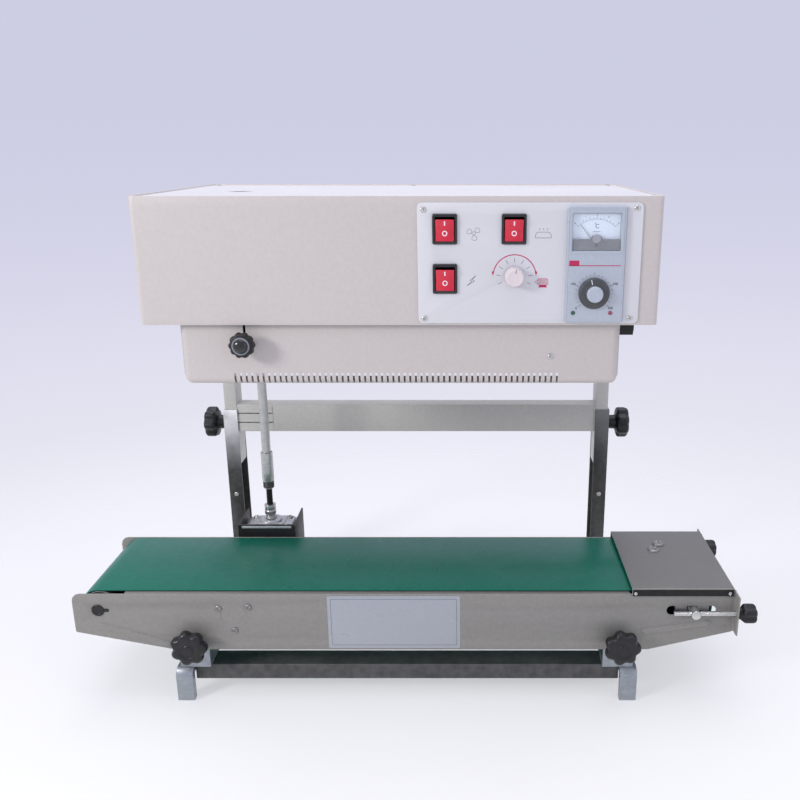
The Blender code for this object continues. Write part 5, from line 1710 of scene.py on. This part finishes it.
    def build_mask(self, x: float, z: float, wide: float, tall: float, floor: float) -> None:
        """Build the dark lower third of the meter, whose top edge swells round the needle's hub.

        Args:
            x: Middle of the meter.
            z: Its height.
            wide: Width of the pocket.
            tall: Height of the pocket.
            floor: Depth of the card.
        """
        half = wide / 2 - 0.8
        low, top = -tall / 2 + 0.8, -tall / 2 + 12.0
        hub = radians(18.0)
        arc = np.linspace(hub, pi - hub, 17)
        crown = np.stack((6.6 * np.cos(arc), top - 6.6 * sin(hub) + 6.6 * np.sin(arc)), -1)
        line = np.concatenate(([(-half, low), (half, low), (half, top)], crown, [(-half, top)]))
        mask = slab(FRONT, (x, 0.0, z), line, floor + 2.4, floor + 4.2, 0.35)
        place(mask, "meter_mask", METER_SHADE, "head", "grey_plastic")
        hub_rows = eased([(floor + 4.0, 4.4), (floor + 4.6, 4.3), (floor + 4.8, 3.4), (floor + 4.8, 0.4)], 0.3, 3)
        place(turned(FRONT, (x, 0.0, z + top + 0.4), hub_rows, 32), "meter_hub", SHADED_PLASTIC, "head",
              "grey_plastic")
        screw = Surface()
        Screw(1.9, 0.7).add(screw, FRONT, (x, -floor - 4.2, z + low + 5.0), 0.4)
        place(screw, "meter_zero_screw", BLACK_PLASTIC, "head", "black_plastic")

    def build_scale(self) -> None:
        """Print the crimson rule with its plain tag, the dial's graduation and its numbers."""
        front = -self.face
        crimson = Surface()
        rule = np.array(((177.4, 520.7), (231.0, 520.7)))
        crimson.solid(stroke(FRONT, (0, 0, 0), rule, 0.8, front - 0.1, front + 0.1))
        tag = rounded_rectangle(10.4, 5.2, 0.5) + np.array((182.6, 523.4))
        crimson.solid(slab(FRONT, (0, 0, 0), tag, front - 0.1, front + 0.1, 0.02, 1))
        place(crimson, "controller_rule", INK_CRIMSON, "head", "red_plastic")
        ink = Surface()
        x, z = self.dial_at
        for step in range(21):
            angle = radians(222.0 - step * 264.0 / 20)
            aim = np.array((cos(angle), sin(angle)))
            reach = 21.6 if step % 5 == 0 else 19.6
            line = np.stack((aim * 18.0, aim * reach)) + (x, z)
            ink.solid(stroke(FRONT, (0, 0, 0), line, 0.3, front - 0.1, front + 0.1))
        for step, text in enumerate(("0", "100", "", "200", "300")):
            angle = radians(222.0 - step * 66.0)
            if text:
                spot = (x + 25.6 * cos(angle) * 0.94, -front - 0.1, z + 25.6 * sin(angle) * 0.92)
                numeral(ink, FRONT, spot, text, 3.6, 0.06)
        place(ink, "dial_scale", INK_DARK, "head", "grey_plastic")

    def build_dial(self) -> None:
        """Turn the dial: a dark ribbed ring with a dished face and a light cap standing in it."""
        x, z = self.dial_at
        box = Box.of("temperature_dial")
        front, tip = -self.face, -box.front
        rows = eased([(front + 0.3, 3.0), (front + 0.3, self.dial_radius), (front + 3.4, self.dial_radius - 0.1),
            (front + 5.0, self.dial_radius - 1.4), (front + 5.4, 9.4), (tip - 3.2, 8.7), (tip - 3.2, 3.0)], 0.7, 4)
        turn = np.arange(240)[None, :] * 2 * pi / 240
        rib = (rows[:, 0][:, None] < front + 3.0) & (rows[:, 1][:, None] > 15.0)
        radius = rows[:, 1][:, None] * (1 - 0.014 * rib * (0.5 - 0.5 * np.cos(48 * turn)))
        grid = FRONT.space((x, 0.0, z), radius * np.cos(turn), radius * np.sin(turn), rows[:, 0][:, None])
        place(grid, "dial_ring", DIAL_PLASTIC, "temperature_dial", "black_plastic", ("temperature_dial",))
        cap = eased([(tip - 6.0, 3.0), (tip - 6.0, 8.8), (tip - 1.0, 8.3), (tip, 7.4), (tip, 0.4)], 0.6, 4)
        place(turned(FRONT, (x, 0.0, z), cap, 56), "dial_cap", INSTRUMENT_PLASTIC, "temperature_dial",
            "white_plastic")
        aim = np.array((cos(radians(104.0)), sin(radians(104.0))))
        line = stroke(FRONT, (x, 0.0, z), np.stack((aim * 9.9, aim * 14.8)), 0.8, front + 4.6, front + 5.6)
        place(line, "dial_pointer", INK_WHITE, "temperature_dial", "white_plastic")

    def build_lamps(self) -> None:
        """Set the green and the red lamp lenses in the lower corners."""
        front = -self.face
        for x, word, look in ((183.0, "green", LAMP_GREEN), (222.0, "red", LAMP_RED)):
            rows = [(front - 0.6, 0.5), (front - 0.6, 2.3), (front + 0.1, 2.3)]
            share = np.linspace(0.2, pi / 2 - 0.05, 6)
            rows += [(front + 0.2 + 1.2 * sin(angle), 2.1 * cos(angle)) for angle in share]
            place(turned(FRONT, (x, 0.0, 471.4), rows, 28), f"{word}_lamp_lens", look, "head", "grey_plastic")


@dataclass
class SealingUnit:
    """The band guard with its louvres, and the wheels, bands, heating and cooling blocks behind it."""

    guard_wall: float = 1.2
    corner: float = 8.0
    vents: int = 58
    vent_low: float = 391.5
    vent_high: float = 402.5
    vent_width: float = 2.2
    vent_span: tuple[float, float] = (-180.0, 170.0)
    slit: tuple[float, float] = (-168.0, -165.2)
    slit_foot: float = 437.0
    wheels_x: tuple[float, float] = (-104.0, 190.0)

    def build(self) -> None:
        """Build the guard and the sealing parts."""
        self.build_guard()
        self.build_pressure_knob()
        self.build_bands()
        for row in ("front", "rear"):
            place(f"heater_{row}", f"heater_{row}_block", BRASS, "head", "brass", edge=0.5)
            place(f"cooler_{row}", f"cooler_{row}_block", ALUMINIUM, "head", "aluminium", edge=0.3)
            for side in ("left", "right"):
                node = f"band_wheel_{row}_{side}"
                place(node, f"{node}_turned", BRIGHT_STEEL, node, "steel", edge=0.4)
        place("embossing_wheel", "embossing_wheel_turned", BRASS, "embossing_wheel", "brass", edge=0.4)
        place("press_wheel", "press_wheel_moulded", RUBBER, "press_wheel", "rubber", edge=0.5)
        self.build_screw_seat()
        place("inlet_guide", "inlet_guide_folded", BLACK_STEEL, "head", "steel", edge=0.3)

    def build_screw_seat(self) -> None:
        """Stand the dark arm that the pressure screw threads into, close behind the guard's slit."""
        arm = slab(FRONT, (-166.6, 0.0, 443.4), rounded_rectangle(24.0, 26.0, 3.0), -25.0, -21.5, 0.5)
        place(arm, "pressure_screw_seat", BLACK_STEEL, "head", "steel")

    def section(self, inset: float) -> Array:
        """Outline of the guard from the top of its front down, under and back, shrunk by an inset.

        Args:
            inset: How far the outline stands in from the guard's own.

        Returns:
            Points as Y and Z.
        """
        box = Box.of("band_guard")
        front, rear = box.front, box.rear
        low, top = box.bottom, box.top
        turn = np.linspace(0.0, pi / 2, 9)
        bend = self.corner - inset
        arc = np.stack((front + self.corner - bend * np.cos(turn), low + self.corner - bend * np.sin(turn)), -1)
        stations = np.array((top, self.slit_foot, self.vent_high))
        fall = np.stack((np.full(3, front + inset), stations), -1)
        floor = np.array(((front + self.corner + 3.0, low + inset), (rear, low + inset)))
        return np.concatenate((fall, arc, floor))

    def build_guard(self) -> None:
        """Bend the guard: its section carried along X over rounded ends, with the louvres and slit left open."""
        box = Box.of("band_guard")
        low, high = box.left, box.right
        radius = self.corner
        turn = np.linspace(0.0, pi / 2, 9)
        ends = radius * (1 - np.sin(turn))
        shrink = radius * (1 - np.cos(turn))
        pitch = (self.vent_span[1] - self.vent_span[0]) / (self.vents - 1)
        vent_at = self.vent_span[0] + pitch * np.arange(self.vents)
        edges = np.concatenate((vent_at - self.vent_width / 2, vent_at + self.vent_width / 2, self.slit))
        edges = np.unique(np.round(edges, 3))
        x = np.concatenate((low + ends[::-1], edges, high - ends))
        inset = np.concatenate((shrink[::-1], np.zeros(len(edges)), shrink))
        order = np.argsort(x, kind="stable")
        x, inset = x[order], inset[order]
        profiles = np.stack([self.section(part) for part in inset])
        points = np.concatenate((np.repeat(x[:, None, None], profiles.shape[1], axis=1), profiles), axis=-1)
        middle = (x[:-1] + x[1:]) / 2
        in_vent = np.min(np.abs(middle[:, None] - vent_at[None, :]), axis=1) < self.vent_width / 2
        in_slit = (middle > self.slit[0]) & (middle < self.slit[1])
        keep = np.ones((len(x) - 1, profiles.shape[1] - 1), bool)
        flat = self.section(0.0)
        vent_columns = (flat[:-1, 1] < self.vent_high + 0.2) & (flat[1:, 1] > self.vent_low - 2.0)
        vent_columns &= flat[1:, 0] < box.front + self.corner
        keep[np.ix_(in_vent, vent_columns)] = False
        keep[np.ix_(in_slit, np.array([True] + [False] * (len(flat) - 2)))] = False
        guard = Surface().grid(points, keep=keep)
        for row, sense in ((0, 1), (-1, -1)):
            cap = points[row]
            corner = np.array([[cap[0, 0], box.rear, box.top]])
            guard.patch(np.concatenate((cap, corner)), [tuple(range(len(cap) + 1))[::sense]])
        place(guard, "guard_folded", PAINT, "head", "paint", ("band_guard",), wall=self.guard_wall, edge=0.2,
            smooth=50.0)
        screws = Surface()
        front = box.front
        Screw(3.2, 1.8).add(screws, FRONT, (162.0, front, 421.3), 0.6)
        place(screws, "guard_screw", BRIGHT_STEEL, "head", "steel")
        eyelet = eased([(-0.4, 4.1), (-0.4, 5.2), (0.35, 5.0), (0.35, 4.3)], 0.2, 3, closed=True)
        grid = turned(FRONT, (-166.6, front, self.slit_foot), eyelet, 32)
        place(Surface().hoop(grid), "slit_eyelet", PAINT, "head", "paint")

    def build_pressure_knob(self) -> None:
        """Turn the pressure screw's knob: a thin stem, a finely lobed skirt and a glossy domed cap."""
        box = Box.of("pressure_knob")
        centre = (box.x, 0.0, box.z)
        tip = -box.front
        stem = [(-26.0, 0.5), (-26.0, 3.0), (-8.0, 3.0), (-8.0, 6.6), (0.0, 7.3), (0.8, 7.3), (0.8, 0.5)]
        place(turned(FRONT, centre, stem, 32), "pressure_screw", STEEL, "pressure_knob", "steel")
        rows = [(0.6, 5.0, 0), (0.6, 13.0, 0.6), (1.4, 14.0, 1), (7.6, 13.6, 1), (9.2, 12.4, 0.8), (9.8, 9.4, 0),
            (9.4, 8.6, 0), (9.4, 2.0, 0)]
        place(lobed(FRONT, centre, rows, 10, 0.10, 0.7), "pressure_grip", BLACK_PLASTIC, "pressure_knob",
            "black_plastic", ("pressure_knob",))
        collar = eased([(9.0, 7.6), (9.0, 9.5), (10.9, 9.3), (10.9, 7.7)], 0.35, 3, closed=True)
        place(Surface().hoop(turned(FRONT, centre, collar, 40)), "pressure_collar", SHADED_PLASTIC, "pressure_knob",
            "black_plastic")
        turn = np.linspace(0.15, pi / 2 - 0.04, 9)
        dome = [(9.2, 1.0), (9.2, 8.0), (10.6, 8.0)]
        dome += [(10.6 + (tip - 10.7) * sin(angle), 7.8 * cos(angle)) for angle in turn]
        place(turned(FRONT, centre, dome, 40), "pressure_cap", GLOSS_BLACK, "pressure_knob", "black_plastic")

    def build_bands(self) -> None:
        """Lay a coated cloth band round each pair of wheels."""
        for row in ("front", "rear"):
            box = Box.of(f"seal_band_{row}")
            y = box.y
            wheels = [(self.wheels_x[1], y), (self.wheels_x[0], y)]
            width = box.height
            centre = (0.0, 0.0, box.z)
            thick = 0.6
            inner = box.depth / 2 - thick
            band = looped(UP, centre, wheels, inner, thick, width, 0.2, 36)
            place(Surface().hoop(band), f"seal_band_{row}_cloth", SEAL_CLOTH, "head", "ptfe_cloth",
                (f"seal_band_{row}",))


@dataclass
class HeadDrive:
    """What turns inside the head: motor, pinion and chain, and the supply unit beside them."""

    def build(self) -> None:
        """Soften and dress the drive."""
        place("motor_pinion", "motor_pinion_cut", STEEL, "motor_pinion", "steel", edge=0.3)
        place("drive_chain", "drive_chain_laid", DARK_STEEL, "head", "steel", edge=0.3)
        place("drive_motor", "drive_motor_enamelled", MOTOR_ENAMEL, "head", "motor_enamel", edge=0.6)
        place("power_unit", "power_unit_boxed", GALVANISED, "head", "supply_case", edge=0.8)


# Studio


@dataclass(frozen=True)
class SoftLight:
    """A square soft light that looks at a point."""

    name: str
    place: Point
    target: Point
    size: float
    watts: float
    colour: Colour = (1.0, 1.0, 1.0)

    def build(self) -> bpy.types.Object:
        """Hang the light.

        Returns:
            The light's object.
        """
        lamp = bpy.data.lights.new(self.name, "AREA")
        lamp.energy = self.watts
        lamp.size = self.size
        lamp.color = self.colour
        item = bpy.data.objects.new(self.name, lamp)
        item.location = self.place
        aim = Vector(self.target) - Vector(self.place)
        item.rotation_euler = aim.to_track_quat("-Z", "Y").to_euler()
        bpy.context.scene.collection.objects.link(item)
        return item


@dataclass
class Studio:
    """A pale floor that fades into a pale room, soft lights and the camera."""

    camera_place: Point = (0.0625, -1.044, 0.6355)
    pitch_down: float = 16.44
    lens: float = 38.19
    shift: float = -0.0836
    floor_radius: float = 2.6
    room: tuple[tuple[float, Colour], ...] = ((0.0, (254, 254, 254)), (0.08, (251, 251, 253)),
        (0.17, (245, 244, 249)), (0.32, (233, 233, 243)), (0.49, (219, 218, 236)), (0.66, (206, 207, 228)),
        (1.0, (206, 207, 228)))
    lights: tuple[SoftLight, ...] = (SoftLight("key", (-1.40, -1.15, 1.05), (0.0, 0.0, 0.40), 0.40, 15.0,
        (1.0, 0.985, 0.975)), SoftLight("fill", (1.5, -1.1, 0.9), (0.1, 0.0, 0.28), 1.3, 3.0, (0.97, 0.98, 1.0)),
        SoftLight("top", (0.0, 0.25, 2.1), (0.0, 0.05, 0.35), 1.6, 21.0))

    def build(self) -> None:
        """Build the room."""
        scene = bpy.context.scene
        scene.view_settings.view_transform = "Standard"
        scene.view_settings.look = "None"
        self.build_world(scene)
        self.build_floor()
        for light in self.lights:
            light.build()
        self.build_camera(scene)

    def build_camera(self, scene: bpy.types.Scene) -> None:
        """Stand the camera before the machine, looking a little down.

        Args:
            scene: The scene it belongs to.
        """
        optics = bpy.data.cameras.new("front camera")
        optics.lens = self.lens
        optics.sensor_width = 36.0
        optics.shift_x = self.shift
        camera = bpy.data.objects.new("front camera", optics)
        camera.location = self.camera_place
        camera.rotation_euler = (radians(90.0 - self.pitch_down), 0.0, 0.0)
        scene.collection.objects.link(camera)
        scene.camera = camera

    def build_world(self, scene: bpy.types.Scene) -> None:
        """Paint the room: a ramp of pale colours by how far down one looks.

        Args:
            scene: The scene it surrounds.
        """
        world = bpy.data.worlds.new("pale room")
        world.use_nodes = True
        nodes = Nodes(world.node_tree)
        looking = nodes.axes(nodes.add("ShaderNodeTexCoord").outputs["Generated"])
        height = nodes.spread(looking["Z"], -0.66, 0.34, 0.0, 1.0)
        ramp = nodes.add("ShaderNodeValToRGB")
        ramp.color_ramp.interpolation = "CARDINAL"
        ramp.color_ramp.elements.remove(ramp.color_ramp.elements[1])
        for number, (where, colour) in enumerate(self.room):
            stop = ramp.color_ramp.elements[0] if number == 0 else ramp.color_ramp.elements.new(where)
            stop.position = where
            stop.color = (*linear(colour), 1.0)
        nodes.feed(ramp.inputs[0], height)
        back = world.node_tree.nodes["Background"]
        nodes.feed(back.inputs["Color"], ramp.outputs["Color"])
        back.inputs["Strength"].default_value = 1.0
        scene.world = world

    def build_floor(self) -> None:
        """Lay a round pale floor, whose cover falls from one to nothing with the distance from its middle."""
        reach = np.linspace(0.02, 1.0, 40)[:, None] ** 1.5 * self.floor_radius / MM
        turn = np.arange(96)[None, :] * 2 * pi / 96
        grid = UP.space((0.0, 160.0, -0.6), reach * np.cos(turn), reach * np.sin(turn), 0.0)
        floor = Surface().grid(grid, around=True)
        floor.faces.append(tuple(range(96)))
        mesh = floor.mesh("floor")
        mesh.materials.append(self.floor_material())
        item = bpy.data.objects.new("floor", mesh)
        bpy.context.scene.collection.objects.link(item)

    def floor_material(self) -> bpy.types.Material:
        """Mix the floor's look.

        Returns:
            A matt near-white whose alpha falls off with distance.
        """
        material, nodes, shader = blank_material("pale floor")
        shader.inputs["Specular IOR Level"].default_value = 0.3
        cloud = nodes.noise(3.0, 3.0)
        nodes.feed(shader.inputs["Base Color"], nodes.blend(nodes.spread(cloud, 0.3, 0.7, 0.0, 1.0),
            (0.88, 0.88, 0.885), (0.90, 0.90, 0.905)))
        shader.inputs["Roughness"].default_value = 0.6
        length = nodes.add("ShaderNodeVectorMath", operation="LENGTH")
        nodes.feed(length.inputs[0], nodes.place())
        nodes.feed(shader.inputs["Alpha"], nodes.spread(length.outputs["Value"], 0.30, 1.2, 0.50, 0.0))
        return material


def main() -> None:
    """Build every sub-assembly in the order a fitter would, then the room, and log each one as it is built."""
    logging.basicConfig(level=logging.INFO, format="%(name)s: %(message)s")
    for assembly in (Stand(), Conveyor(), BeltDrive(), LiftFrame(), HeadBox(), ControlPanel(), Controller(),
            SealingUnit(), HeadDrive(), Studio()):
        assembly.build()
        LOG.info("%s built", type(assembly).__name__)


if __name__ == "__main__":
    main()
